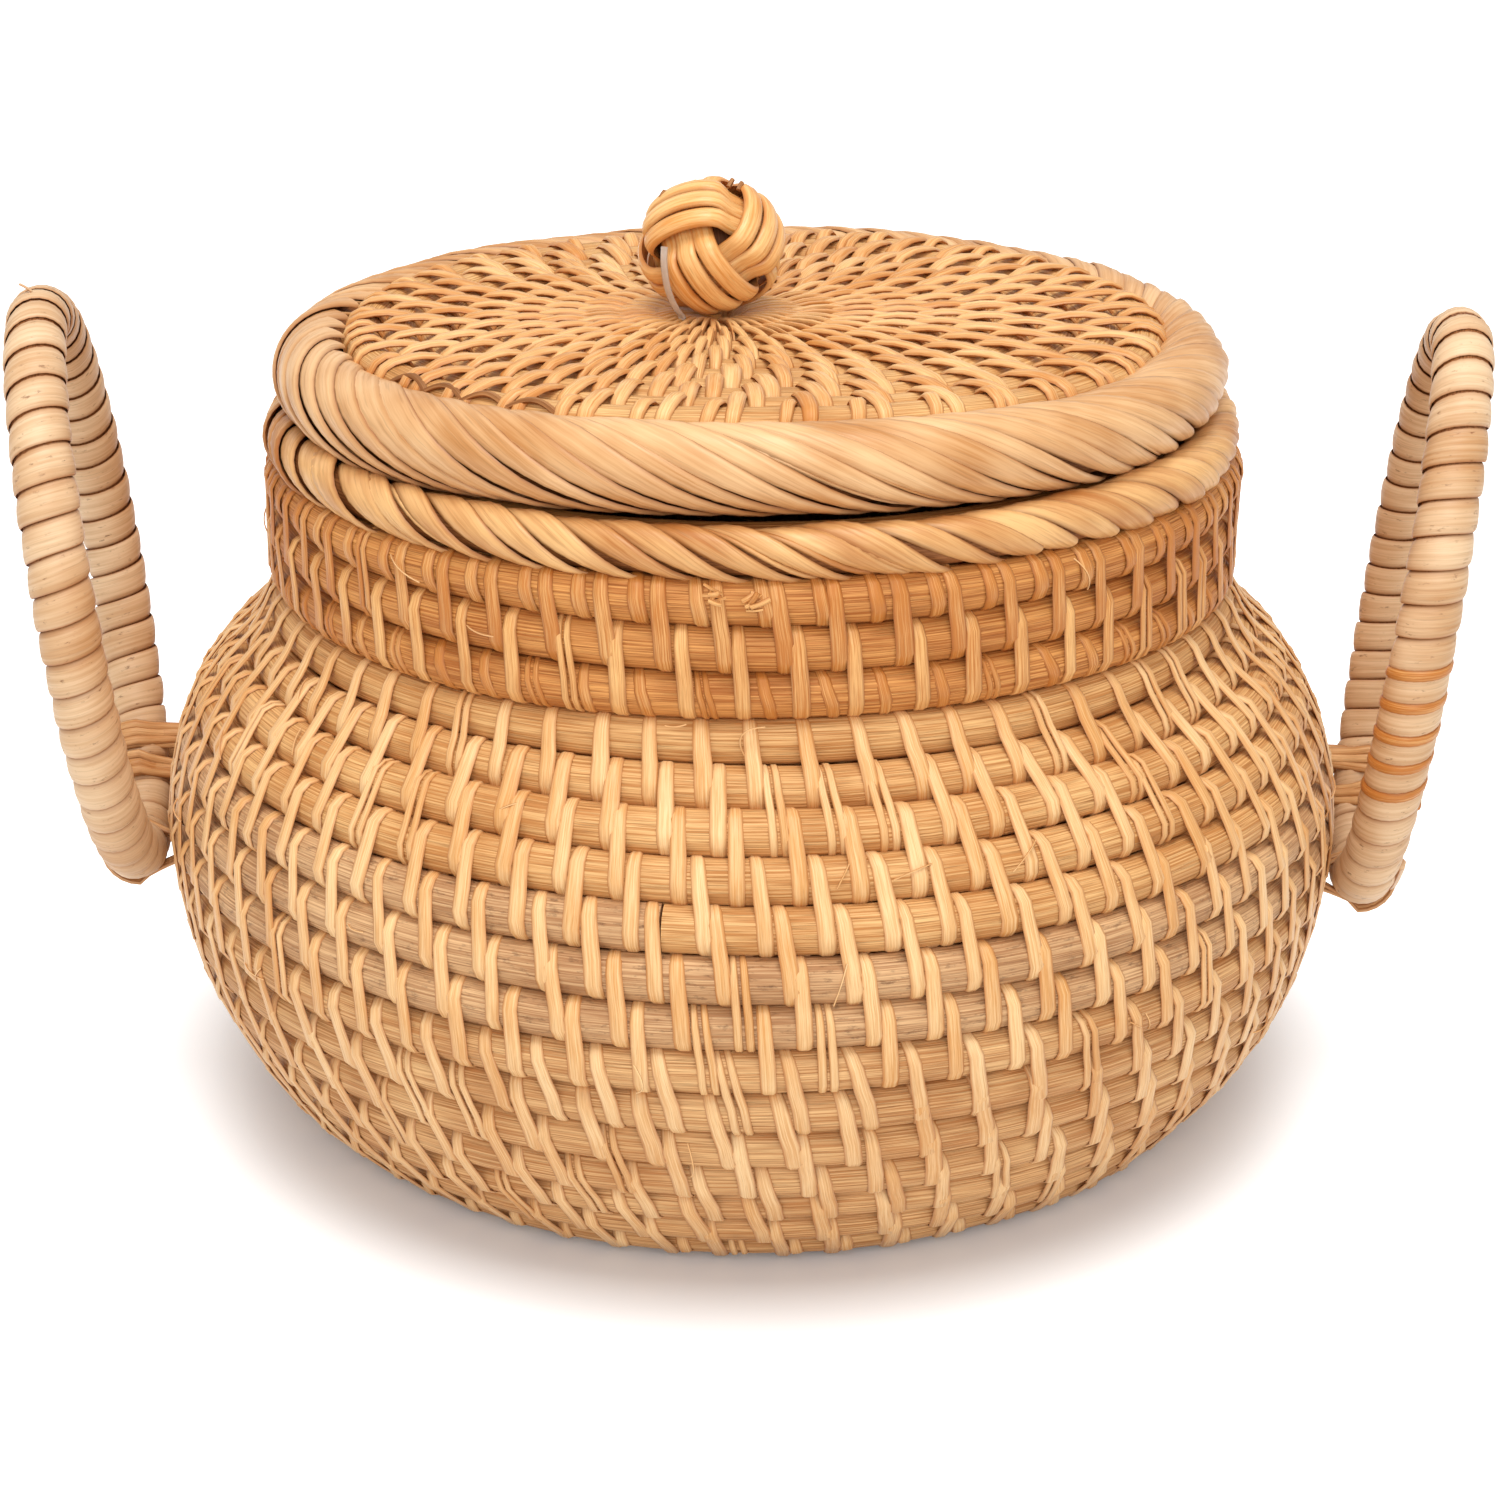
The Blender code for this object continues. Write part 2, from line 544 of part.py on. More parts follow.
def add_lid_disc(holder, home):
    """The lid's flat spiral, whose last turn lies on the rim's rod and bows up with it.

    Its middle is off the axis. The rod is as wide as the pitch on its side of the middle allows,
    less what the rows lose while they level out."""
    last_radius = LID_DISC_RADIUS
    last_row = round((last_radius - LID_HOLE_RADIUS) / LID_ROW_PITCH)
    row_pitch = (last_radius - LID_HOLE_RADIUS) / last_row
    turns = turns_between(0.0, last_row + 0.5 + PARED_SHARE * CLIMB_SHARE, LID_ROW_POINTS)
    rows, half = rows_under_edge(turns, last_row, LID_ROW_GAP / row_pitch)
    radius = last_radius - (last_row - rows) * row_pitch
    angle = 2.0 * math.pi * turns - math.pi / 2.0
    height = LID_DISC_HEIGHT + lid_bow(angle) * (radius / last_radius) ** 2
    slope = np.arctan(2.0 * lid_bow(angle) * radius / last_radius ** 2)
    out = np.stack([np.cos(angle), np.sin(angle), 0.0 * angle], axis=1)
    along = np.cos(slope)[:, None] * out + np.sin(slope)[:, None] * UP
    away = -np.sin(slope)[:, None] * out + np.cos(slope)[:, None] * UP
    shift = LID_MIDDLE_OFFSET / last_radius
    middles = radius[:, None] * out + height[:, None] * UP
    middles[:, 0] += shift * (last_radius - radius)
    pitch = (1.0 - shift * np.cos(angle)) * row_pitch
    drawn_closer = (0.5 - CLIMB_SHARE / 2.0) / LEVELLING_TURNS * row_pitch
    width = 2.0 * half * pitch - np.where(rows < last_row - 0.5, drawn_closer, 0.0)
    outline = row_outline(width / 2.0, LID_ROW_THICKNESS / 2.0 * half / half.max())
    stations = place_outlines(middles, along, away, outline)
    report_gap("lid_coil", stations, LID_ROW_POINTS)
    points, faces = loft(stations, closed=False)
    add_piece("lid_coil", points, faces, TAN_ROD, holder, home)


def add_lid_rim(holder, home):
    """The lid's thick rim: a rod, and its binding, open towards the disc."""
    middles, out, up = lid_rim_path()
    points, faces = loft(place_outlines(middles, out, up, polygon(LID_ROD_RADIUS, 8, 22.5)), True)
    add_piece("lid_rim_rod", points, faces, TAN_ROD, holder, home)
    outline = open_shell(LID_OUTER, LID_ROD_RADIUS + SEAT_GAP, LID_OPENING_MIDDLE, LID_OPENING, 10)
    points, faces = loft(place_outlines(middles, out, up, outline), True)
    add_piece("lid_rim_binding", points, faces, PALE_SPLINT, holder, home)


def add_seat_ring(holder, home):
    """The ring under the lid that drops into the mouth and keeps the lid in place."""
    overlap = LID_RIM_RADIUS - SEAT_RING_OUTER
    top = LID_RIM_HEIGHT - math.sqrt(LID_OUTER ** 2 - overlap ** 2) - SEAT_GAP
    half_width, half_height = SEAT_RING_WIDTH / 2.0, SEAT_RING_HEIGHT / 2.0
    cut = min(SEAT_RING_CHAMFER, 0.9 * half_width)
    outline = [(half_width, half_height), (-half_width, half_height),
               (-half_width, -half_height + cut), (-half_width + cut, -half_height),
               (half_width - cut, -half_height), (half_width, -half_height + cut)]
    middles, out, up = ring_path(SEAT_RING_OUTER - half_width, top - half_height)
    points, faces = loft(place_outlines(middles, out, up, outline), closed=True)
    add_piece("lid_seat_ring", points, faces, DARK_ROD, holder, home)


# The knob

def knob_axes():
    """For each band, the direction square to it. The three are square to each other, and
    all lie as far from the corner where the bands meet."""
    corner = unit(np.array(KNOB_CORNER))
    right = unit(np.cross(UP, corner))
    up = np.cross(corner, right)
    axes = []
    for place in KNOB_BANDS.values():
        around = math.cos(math.radians(place)) * right + math.sin(math.radians(place)) * up
        axes.append(math.sqrt(1.0 / 3.0) * corner - math.sqrt(2.0 / 3.0) * around)
    return axes


def knob_band(first, second, points=24):
    """A band round the ball, inside where it points along first and outside along second."""
    weave = (KNOB_BAND_THICKNESS + KNOB_BAND_GAP) / 2.0
    middle_radius = KNOB_RADIUS - weave - KNOB_BAND_THICKNESS / 2.0
    angle = np.arange(points) * 2.0 * math.pi / points
    radius = middle_radius + weave * np.clip(-KNOB_WEAVE_STEEPNESS * np.cos(2.0 * angle), -1.0, 1.0)
    out = np.cos(angle)[:, None] * first + np.sin(angle)[:, None] * second
    across = np.repeat(np.cross(first, second)[None], points, axis=0)
    half_width, half_thickness = KNOB_BAND_WIDTH / 2.0, KNOB_BAND_THICKNESS / 2.0
    outer = [(-1.0, 0.2), (-0.67, 1.0), (-0.33, 0.6), (0.0, 1.0), (0.33, 0.6), (0.67, 1.0), (1.0, 0.2)]
    shares = np.array(outer + [(0.8, -1.0), (0.0, -1.0), (-0.8, -1.0)])
    outline = shares * [half_width, half_thickness]
    outline[:, 1] -= outline[:, 0] ** 2 / (2.0 * middle_radius)
    return loft(place_outlines(radius[:, None] * out, across, out, outline), closed=True)


def add_knob(holder):
    """Ball, three crossing bands, the lashing through the lid, and the thread beside it."""
    axes = knob_axes()
    flatten = np.array([1.0, 1.0, KNOB_FLATNESS])
    bands = {}
    for k, name in enumerate(KNOB_BANDS):
        points, faces = knob_band(axes[(k + 1) % 3], axes[(k + 2) % 3])
        bands[name] = points * flatten, faces
    lowest = min(points[:, 2].min() for points, _ in bands.values())
    lid_top = LID_DISC_HEIGHT + LID_ROW_THICKNESS / 2.0
    middle = np.array([LID_MIDDLE_OFFSET, 0.0, lid_top + SEAT_GAP - lowest])
    for name, (points, faces) in bands.items():
        add_piece(name, points + middle, faces, KNOB_SPLINT, holder, middle)
    weave = KNOB_BAND_THICKNESS + KNOB_BAND_GAP
    ball_radius = KNOB_RADIUS - weave - KNOB_BAND_THICKNESS - 2.0 * SEAT_GAP
    ball = bmesh.new()
    bmesh.ops.create_uvsphere(ball, u_segments=14, v_segments=8, radius=ball_radius)
    points = np.array([vertex.co for vertex in ball.verts]) * flatten
    faces = [tuple(vertex.index for vertex in face.verts) for face in ball.faces]
    ball.free()
    add_piece("knob_ball", points + middle, faces, DARK_ROD, holder, middle)
    add_lashing(middle, lowest, holder)
    add_thread(middle, lid_top, holder)


def add_lashing(middle, lowest, holder):
    """The splint tails drawn down through the spiral's middle and knotted under the lid."""
    top = middle[2] + lowest - SEAT_GAP
    underside = LID_DISC_HEIGHT - LID_ROW_THICKNESS / 2.0 - SEAT_GAP
    knot = [(LASHING_RADIUS, underside), (LASHING_KNOT_RADIUS, underside),
            (LASHING_KNOT_RADIUS, underside - LASHING_KNOT_HEIGHT)]
    levels = [(LASHING_RADIUS, top)] + knot
    axis = middle * [1.0, 1.0, 0.0]
    stations = [axis + np.concatenate([polygon(radius, 10), np.full((10, 1), height)], axis=1)
                for radius, height in levels]
    points, faces = loft(np.array(stations), closed=False)
    add_piece("knob_lashing", points, faces, KNOB_SPLINT, holder, middle)


def add_thread(middle, lid_top, holder):
    """A clear thread from the knob's left shoulder, close over its bands, to the lid."""
    reach = KNOB_RADIUS + SEAT_GAP + THREAD_RADIUS
    round_ball = np.radians(np.linspace(*THREAD_ARC, 10))
    sideways = unit(np.array(THREAD_SIDE))
    path = middle + reach * (np.cos(round_ball)[:, None] * sideways + np.sin(round_ball)[:, None] * UP)
    foot = path[-1] * [1.0, 1.0, 0.0] + (lid_top + SEAT_GAP + THREAD_RADIUS) * UP
    foot += THREAD_FLARE * sideways
    path = np.concatenate([path, [foot]])
    run = unit(np.gradient(path, axis=0))
    across = np.repeat(np.cross(sideways, UP)[None], len(path), axis=0)
    outline = polygon(THREAD_RADIUS, 6)
    points, faces = loft(place_outlines(path, across, np.cross(run, across), outline), closed=False)
    add_piece("knob_thread", points, faces, CLEAR_THREAD, holder, middle)


def build():
    for old in list(bpy.data.objects):
        bpy.data.objects.remove(old, do_unlink=True)
    basket = add_holder("basket", (0.0, 0.0, 0.0))
    add_wall(basket)
    add_rim(basket)
    left = Hoop(-1.0, LEFT_HANDLE_HALF_WIDTH, LEFT_HANDLE_HALF_HEIGHT, LEFT_HANDLE_FOOT_HEIGHT,
                LEFT_HANDLE_SWING, LEFT_HANDLE_LEAN)
    right = Hoop(1.0, RIGHT_HANDLE_HALF_WIDTH, RIGHT_HANDLE_HALF_HEIGHT, RIGHT_HANDLE_FOOT_HEIGHT,
                 RIGHT_HANDLE_SWING, RIGHT_HANDLE_LEAN)
    add_handle("left", left, LEFT_HANDLE_TIES, basket)
    add_handle("right", right, RIGHT_HANDLE_TIES, basket)
    home = (0.0, 0.0, LID_RIM_HEIGHT)
    lid = add_holder("lid", home)
    add_lid_rim(lid, home)
    add_lid_disc(lid, home)
    add_seat_ring(lid, home)
    add_knob(lid)
    print(f"rows: {FIRST_BELLY_ROW} in the base, {BELLY_ROWS} in the belly, "
          f"{NECK_ROWS} in the neck")


build()
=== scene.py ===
import math

import bpy
import numpy as np
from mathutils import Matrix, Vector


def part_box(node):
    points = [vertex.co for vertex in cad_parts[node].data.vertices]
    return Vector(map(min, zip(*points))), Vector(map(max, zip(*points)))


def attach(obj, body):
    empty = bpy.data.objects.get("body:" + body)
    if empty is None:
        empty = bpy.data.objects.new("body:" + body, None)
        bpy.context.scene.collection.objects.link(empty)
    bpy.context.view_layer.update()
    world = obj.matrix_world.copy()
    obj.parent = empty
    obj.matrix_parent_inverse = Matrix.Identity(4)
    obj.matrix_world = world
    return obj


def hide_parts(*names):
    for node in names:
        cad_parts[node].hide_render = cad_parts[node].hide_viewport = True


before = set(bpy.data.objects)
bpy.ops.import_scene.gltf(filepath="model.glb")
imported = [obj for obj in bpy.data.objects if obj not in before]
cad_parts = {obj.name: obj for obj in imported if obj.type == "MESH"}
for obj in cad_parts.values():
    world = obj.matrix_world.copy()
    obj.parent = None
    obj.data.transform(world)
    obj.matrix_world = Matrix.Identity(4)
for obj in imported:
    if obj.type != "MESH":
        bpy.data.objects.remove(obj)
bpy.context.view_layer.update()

rng = np.random.default_rng(26)

# The basket's wall: one round rod of split cane, coiled from the middle of the base up to the
# neck in five lengths, butted end to end. It climbs from row to row at the back.
PITCH = 0.0072
ROW_HALF = 0.0069 / 2.0
BASE_RADIUS, BELLY_RADIUS, NECK_RADIUS = 0.0739, 0.0964, 0.0775
BASE_BEND, CREASE_BEND = 0.006, 0.012
BASE_RISE, SHOULDER_START, SHOULDER_SLOPE = np.radians([44.0, 98.0, 142.0])
NECK_FOOT, NECK_ROWS = 0.0045, 3
LEVELLING_TURNS, CLIMB_SHARE, LAST_TURNS, BUTT_GAP = 10.0, 0.2, 0.595, 0.0003
TOP_ROW, FIRST_BELLY_ROW = 26, 10
MIDDLE_ROD_START, UPPER_ROD_START = 16.5, 18.978
CORE_THROUGH = 0.00293
ROD_STATIONS, ROD_SIDES = 96, 14
UP = np.array([0.0, 0.0, 1.0])


def unit(vectors):
    """Vectors divided by their lengths."""
    return vectors / np.linalg.norm(vectors, axis=-1, keepdims=True)


def wall_stretches():
    """Length, start slope and bend of each stretch of the wall's line: flats have no bend, and the
    belly's and the shoulder's radii are what joins the radii of base, belly and neck."""
    rise, over, slope = BASE_RISE, SHOULDER_START, SHOULDER_SLOPE
    belly = (BELLY_RADIUS - BASE_RADIUS - BASE_BEND * math.sin(rise)) / (1.0 - math.sin(rise))
    inwards = BELLY_RADIUS - NECK_RADIUS - belly * (1.0 - math.sin(over))
    inwards -= CREASE_BEND * (1.0 - math.sin(slope))
    shoulder = inwards / (math.sin(over) - math.sin(slope))
    return [(BASE_RADIUS, 0.0, 0.0), (BASE_BEND * rise, 0.0, 1.0 / BASE_BEND),
            (belly * (over - rise), rise, 1.0 / belly),
            (shoulder * (slope - over), over, 1.0 / shoulder),
            (CREASE_BEND * (slope - math.pi / 2.0), slope, -1.0 / CREASE_BEND),
            (NECK_FOOT + (NECK_ROWS - 1) * PITCH, math.pi / 2.0, 0.0)]


WALL_LENGTH = sum(stretch[0] for stretch in wall_stretches())


def wall_line(rows):
    """Radius, height and slope of the wall at a row: radius and height are the integrals of the
    slope's cosine and sine along the stretches."""
    distance = WALL_LENGTH - (TOP_ROW - rows) * PITCH
    radius, height, slope = 0.0 * distance, 0.0 * distance + ROW_HALF, 0.0 * distance
    start = 0.0
    for length, first, bend in wall_stretches():
        last = start + length > WALL_LENGTH - 1e-9
        step = np.clip(distance - start, 0.0, None if last else length)
        turned = first + step * bend
        if bend:
            radius = radius + (np.sin(turned) - math.sin(first)) / bend
            height = height + (math.cos(first) - np.cos(turned)) / bend
        else:
            radius = radius + step * math.cos(first)
            height = height + step * math.sin(first)
        slope = np.where(distance > start, turned, slope)
        start += length
    return radius, height, slope


def rows_reached(turns):
    """Row reached after some turns: the whole turns, plus a smooth step at the back that grows out
    of an even spiral over the first ten turns."""
    whole = np.floor(turns)
    part = turns - whole
    climb = np.clip((part - 0.5) / CLIMB_SHARE + 0.5, 0.0, 1.0)
    climb = climb * climb * (3.0 - 2.0 * climb)
    level = np.clip(turns / LEVELLING_TURNS, 0.0, 1.0)
    return whole + (1.0 - level) * part + level * climb


def wander(turns, size, first_phase):
    """Slow wobble of hand-laid work: the mean of five sines with unrelated periods."""
    counts = np.array([1.37, 2.91, 4.73, 7.19, 11.3])
    phases = first_phase * np.array([1.0, 2.3, 3.1, 4.7, 5.9])
    return size * np.sin(2.0 * math.pi * turns[..., None] * counts + phases).mean(axis=-1)


def spiral_out(turns):
    """Direction away from the axis after some turns, starting at the front."""
    angle = 2.0 * math.pi * turns - math.pi / 2.0
    return np.stack([np.cos(angle), np.sin(angle), 0.0 * angle], axis=-1)


def pared(turns):
    """Share of the rod that is cut away on its underside at the last end, where it lies on the
    climb of the row below."""
    return np.clip(rows_reached(turns - 1.0) - TOP_ROW + 1.0, 0.0, 1.0)


def wall_rod(turns):
    """Middle of the wall's rod after some turns, with the directions up the wall and out of it."""
    rows = np.minimum(rows_reached(turns), TOP_ROW) + 0.5 * pared(turns)
    radius, height, slope = wall_line(rows)
    out = spiral_out(turns)
    along = np.cos(slope)[..., None] * out + np.sin(slope)[..., None] * UP
    away = np.sin(slope)[..., None] * out - np.cos(slope)[..., None] * UP
    middle = radius[..., None] * out + height[..., None] * UP
    settled = np.clip((turns - 9.0) / 2.0, 0.0, 1.0)
    middle = middle + (settled * wander(turns, 0.0003, 1.0))[..., None] * along
    middle = middle + (settled * wander(turns, 0.0005, 2.0))[..., None] * away
    return middle, along, away


def wall_half_pitch(turns):
    """Half the way from a row to its neighbours, a quarter of the sum of the two ways. The first
    and last turns have one neighbour, and the pared end tapers to nothing."""
    here = wall_rod(turns)[0]
    above = np.linalg.norm(wall_rod(turns + 1.0)[0] - here, axis=1)
    below = np.linalg.norm(wall_rod(np.maximum(turns - 1.0, 0.0))[0] - here, axis=1)
    above = np.where(turns > TOP_ROW - 0.6, below, above)
    below = np.where(turns < 1.0, above, below)
    return np.where(turns > TOP_ROW + 0.4, 0.5 * PITCH * (1.0 - pared(turns)), (above + below) / 4.0)


def strips(name, outlines, along, across, tone, edge_shade, closed=False):
    """Skins rows of outlines (strip, station, point) into strips with closed ends, turned so that
    their faces look away from the outlines' middles. UV holds millimetres along and across; tone
    is one value a strip, and edge one a point of the outline: its share of painted shade."""
    count, stations, sides = outlines.shape[:3]
    index = np.arange(count * stations * sides).reshape(count, stations, sides)
    if closed:
        index = np.concatenate([index, index[:, :1]], axis=1)
    beside = np.roll(index, -1, axis=2)
    quads = np.stack([index[:, :-1], beside[:, :-1], beside[:, 1:], index[:, 1:]], axis=-1)
    here = np.broadcast_to(along[:, :-1, None], quads.shape[:3])
    there = np.broadcast_to(along[:, 1:, None], quads.shape[:3])
    left = np.broadcast_to(across[:-1], quads.shape[:3])
    right = np.broadcast_to(across[1:], quads.shape[:3])
    quad_uv = np.stack([here, left, here, right, there, right, there, left], axis=-1)
    caps = index[:, [0, -1]].reshape(-1, sides)[:0 if closed else None]
    caps[::2] = caps[::2, ::-1]
    cap_uv = np.stack([np.repeat(along[:, [0, -1]].ravel(), sides).reshape(-1, sides),
                       np.tile(across[:-1], (2 * count, 1))], axis=-1)[:len(caps)]
    cap_uv[::2] = cap_uv[::2, ::-1]

    points = outlines.reshape(-1, 3)
    quads, quad_uv = quads.reshape(-1, 4), quad_uv.reshape(-1, 4, 2)
    corner, second, fourth = points[quads[:, 0]], points[quads[:, 1]], points[quads[:, 3]]
    middle = np.repeat(outlines.mean(axis=2).reshape(-1, 3), sides, axis=0)[quads[:, 0]]
    if (np.cross(second - corner, fourth - corner) * (corner + second - 2.0 * middle)).sum() < 0.0:
        quads, quad_uv = quads[:, ::-1], quad_uv[:, ::-1]
        caps, cap_uv = caps[:, ::-1], cap_uv[:, ::-1]
    mesh = bpy.data.meshes.new(name)
    mesh.vertices.add(len(points))
    mesh.vertices.foreach_set("co", points.astype(np.float32).ravel())
    mesh.loops.add(quads.size + caps.size)
    corners = np.concatenate([quads.ravel(), caps.ravel()])
    mesh.loops.foreach_set("vertex_index", corners.astype(np.int32))
    mesh.polygons.add(len(quads) + len(caps))
    starts = np.concatenate([4 * np.arange(len(quads)), quads.size + sides * np.arange(len(caps))])
    mesh.polygons.foreach_set("loop_start", starts.astype(np.int32))
    mesh.update(calc_edges=True)
    uv = np.concatenate([quad_uv.ravel(), cap_uv.ravel()])
    mesh.uv_layers.new(name="UVMap").data.foreach_set("uv", uv.astype(np.float32))
    for key, value in (("tone", np.repeat(tone, stations * sides)),
                       ("edge_shade", np.tile(edge_shade, count * stations))):
        layer = mesh.attributes.new(key, "FLOAT", "POINT")
        layer.data.foreach_set("value", value.astype(np.float32))
    mesh.shade_smooth()
    mesh.set_sharp_from_angle(angle=math.radians(60.0))
    piece = bpy.data.objects.new(name, mesh)
    bpy.context.scene.collection.objects.link(piece)
    return piece


def lay_in(piece, material, slot, body, *nodes):
    """Gives a piece its material, the body that it rides on and the nodes it replaces. Slot is not
    used.
    """
    piece.data.materials.append(material)
    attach(piece, body)
    if nodes:
        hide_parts(*nodes)


def way_along(path):
    """Way from the start to each station of paths (strip, station), in millimetres: the running
    sum of the steps."""
    steps = np.linalg.norm(np.diff(path, axis=1), axis=2)
    return 1000.0 * np.concatenate([np.zeros((len(path), 1)), np.cumsum(steps, axis=1)], axis=1)


def display(red, green, blue):
    """A colour as a screen shows it, 0 to 255, made linear."""
    value = np.array([red, green, blue]) / 255.0
    return (*np.where(value > 0.04045, ((value + 0.055) / 1.055) ** 2.4, value / 12.92), 1.0)


def add_node(tree, kind, inputs=None, **settings):
    """Adds a node, sets its settings, and links or sets its inputs."""
    node = tree.nodes.new(kind)
    for key, value in settings.items():
        setattr(node, key, value)
    for key, value in (inputs or {}).items():
        if isinstance(value, bpy.types.NodeSocket):
            tree.links.new(value, node.inputs[key])
        else:
            node.inputs[key].default_value = value
    return node


def add_maths(tree, operation, *values, clamped=False):
    """Arithmetic on two or three values."""
    return add_node(tree, "ShaderNodeMath", dict(enumerate(values)), operation=operation,
                    use_clamp=clamped).outputs[0]


def add_noise(tree, place, scale, detail, roughness):
    """Cloudy noise from 0 to 1, read at a place."""
    return add_node(tree, "ShaderNodeTexNoise", {"Vector": place, "Scale": scale, "Detail": detail,
                                                 "Roughness": roughness}).outputs["Fac"]


def add_range(tree, value, low, high, least, most):
    """A value from low to high, stretched to go from least to most, and held between them."""
    return add_node(tree, "ShaderNodeMapRange", {"Value": value, 1: low, 2: high, 3: least,
                                                 4: most}).outputs[0]


def add_mix(tree, share, first, second):
    """The second colour laid over the first by a share."""
    return add_node(tree, "ShaderNodeMix", {0: share, 6: first, 7: second},
                    data_type="RGBA").outputs[2]


def cane_finish(name, pale, deep, edge_shade=None, fibre=4.5, length=0.12, streak=0.7, mottle=None,
                patch=0.35, roughness=0.45, bump=0.45, cracks=0.3):
    """Split cane. Fibres are noise stretched along the strip, laid from pale to deep together with
    the strip's own tone and slow patches. Fine cracks are peaks of a finer noise. Stains, and
    painted shade at the strip's sides and underside, are laid over them, and the last of the three
    also lies a little deeper."""
    material = bpy.data.materials.new(name)
    material.use_nodes = True
    tree = material.node_tree
    shader = tree.nodes["Principled BSDF"]
    shader.inputs["Specular IOR Level"].default_value = 0.35
    place = add_node(tree, "ShaderNodeUVMap", uv_map="UVMap").outputs["UV"]
    solid = add_node(tree, "ShaderNodeTexCoord").outputs["Object"]
    tone = add_node(tree, "ShaderNodeAttribute", attribute_name="tone").outputs["Fac"]
    stretched = add_node(tree, "ShaderNodeMapping", {"Vector": place, "Scale": (length, fibre, 1.0)})
    apart = add_node(tree, "ShaderNodeCombineXYZ", {"Z": add_maths(tree, "MULTIPLY", tone, 173.0)})
    own = add_node(tree, "ShaderNodeVectorMath", {0: stretched.outputs[0], 1: apart.outputs[0]},
                   operation="ADD").outputs[0]
    fibres = add_noise(tree, own, 1.0, 3.0, 0.62)
    lines = add_range(tree, fibres, 0.38, 0.64, 0.0, streak)
    patches = add_noise(tree, solid, 55.0, 2.0, 0.5)
    slow = add_range(tree, patches, 0.35, 0.65, -patch / 2.0, patch / 2.0)
    toned = add_maths(tree, "ADD", lines, slow)
    shade = add_maths(tree, "MULTIPLY_ADD", tone, 0.75, toned, clamped=True)
    colour = add_mix(tree, shade, pale, deep)
    share = add_range(tree, add_noise(tree, own, 2.1, 2.0, 0.6), 0.56, 0.68, 0.0, cracks)
    colour = add_mix(tree, share, colour, (*(0.5 * np.array(deep[:3])), 1.0))
    if mottle:
        stain, few, many, most = mottle
        spread = add_node(tree, "ShaderNodeMapping", {"Vector": place, "Scale": (0.35, 0.9, 1.0)})
        spots = add_noise(tree, spread.outputs[0], 1.0, 5.0, 0.7)
        share = add_range(tree, spots, few, many, 0.0, most)
        colour = add_mix(tree, share, colour, stain)
    # Painted shade: the edge attribute darkens each strip's sides and underside towards the edge
    # colour, standing in for the shade in the gaps between strips.
    if edge_shade:
        shaded_edge = add_node(tree, "ShaderNodeAttribute", attribute_name="edge_shade").outputs["Fac"]
        share = add_maths(tree, "MULTIPLY", add_maths(tree, "POWER", shaded_edge, 1.6), 0.8)
        colour = add_mix(tree, share, colour, edge_shade)
    tree.links.new(colour, shader.inputs["Base Color"])
    gloss = add_range(tree, fibres, 0.3, 0.7, roughness - 0.07, roughness + 0.1)
    tree.links.new(gloss, shader.inputs["Roughness"])
    ridges = add_node(tree, "ShaderNodeBump", {"Strength": bump, "Distance": 0.0002,
                                               "Height": add_maths(tree, "SUBTRACT", fibres, share)})
    tree.links.new(ridges.outputs[0], shader.inputs["Normal"])
    return material


def rod_outlines(rod, turns, across, through):
    """Ellipses round a rod's middle, square to its run, that swell and shrink by up to 2%."""
    middle, along, away = rod(turns)
    around = np.arange(ROD_SIDES) * 2.0 * math.pi / ROD_SIDES + math.pi
    swell = 1.0 + wander(turns, 0.02, 3.0)
    return (middle[:, None]
            + (across * swell)[:, None, None] * np.sin(around)[:, None] * along[:, None]
            + (through * swell)[:, None, None] * np.cos(around)[:, None] * away[:, None])


def add_rod(name, rod, first, last, across, through, material, slot, body, node):
    """One length of rod, between two turn counts, in place of its plain node. Across is a function
    of the turns."""
    turns = np.linspace(first, last, int((last - first) * ROD_STATIONS) + 2)
    across = across(turns)
    outlines = rod_outlines(rod, turns, across, through)
    run = way_along(rod(turns)[0][None])
    round_rod = 2000.0 * math.pi * np.max(across) * np.arange(ROD_SIDES + 1) / ROD_SIDES
    piece = strips(name, outlines[None], run + 500.0 * first, round_rod, np.array([0.3]),
                   np.zeros(ROD_SIDES))
    lay_in(piece, material, slot, body, node)


ROD_GRAIN = dict(fibre=3.2, bump=0.6, cracks=0.5)
ROD_TAN = cane_finish("cane_rod_tan", display(239, 191, 128), display(188, 125, 65), length=0.045,
                      streak=0.9, roughness=0.55, **ROD_GRAIN)
ROD_GREY = cane_finish("cane_rod_grey", display(227, 183, 133), display(170, 120, 77), length=0.05,
                       streak=0.9, roughness=0.6, mottle=(display(112, 76, 48), 0.55, 0.7, 0.75),
                       **ROD_GRAIN)
ROD_ORANGE = cane_finish("cane_rod_orange", display(231, 164, 91), display(168, 96, 36),
                         length=0.045, streak=0.85, roughness=0.55, **ROD_GRAIN)
ROD_LOW = cane_finish("cane_rod_low", display(236, 190, 132), display(182, 122, 68), length=0.045,
                      streak=0.9, roughness=0.57, **ROD_GRAIN)
# The cores that show only in the slits between rim splints and in the handles' seams are coloured
# dark as painted shade for those gaps.
SHADED_ROD = cane_finish("cane_rod_painted_shade", display(172, 108, 56), display(120, 68, 30), roughness=0.6)

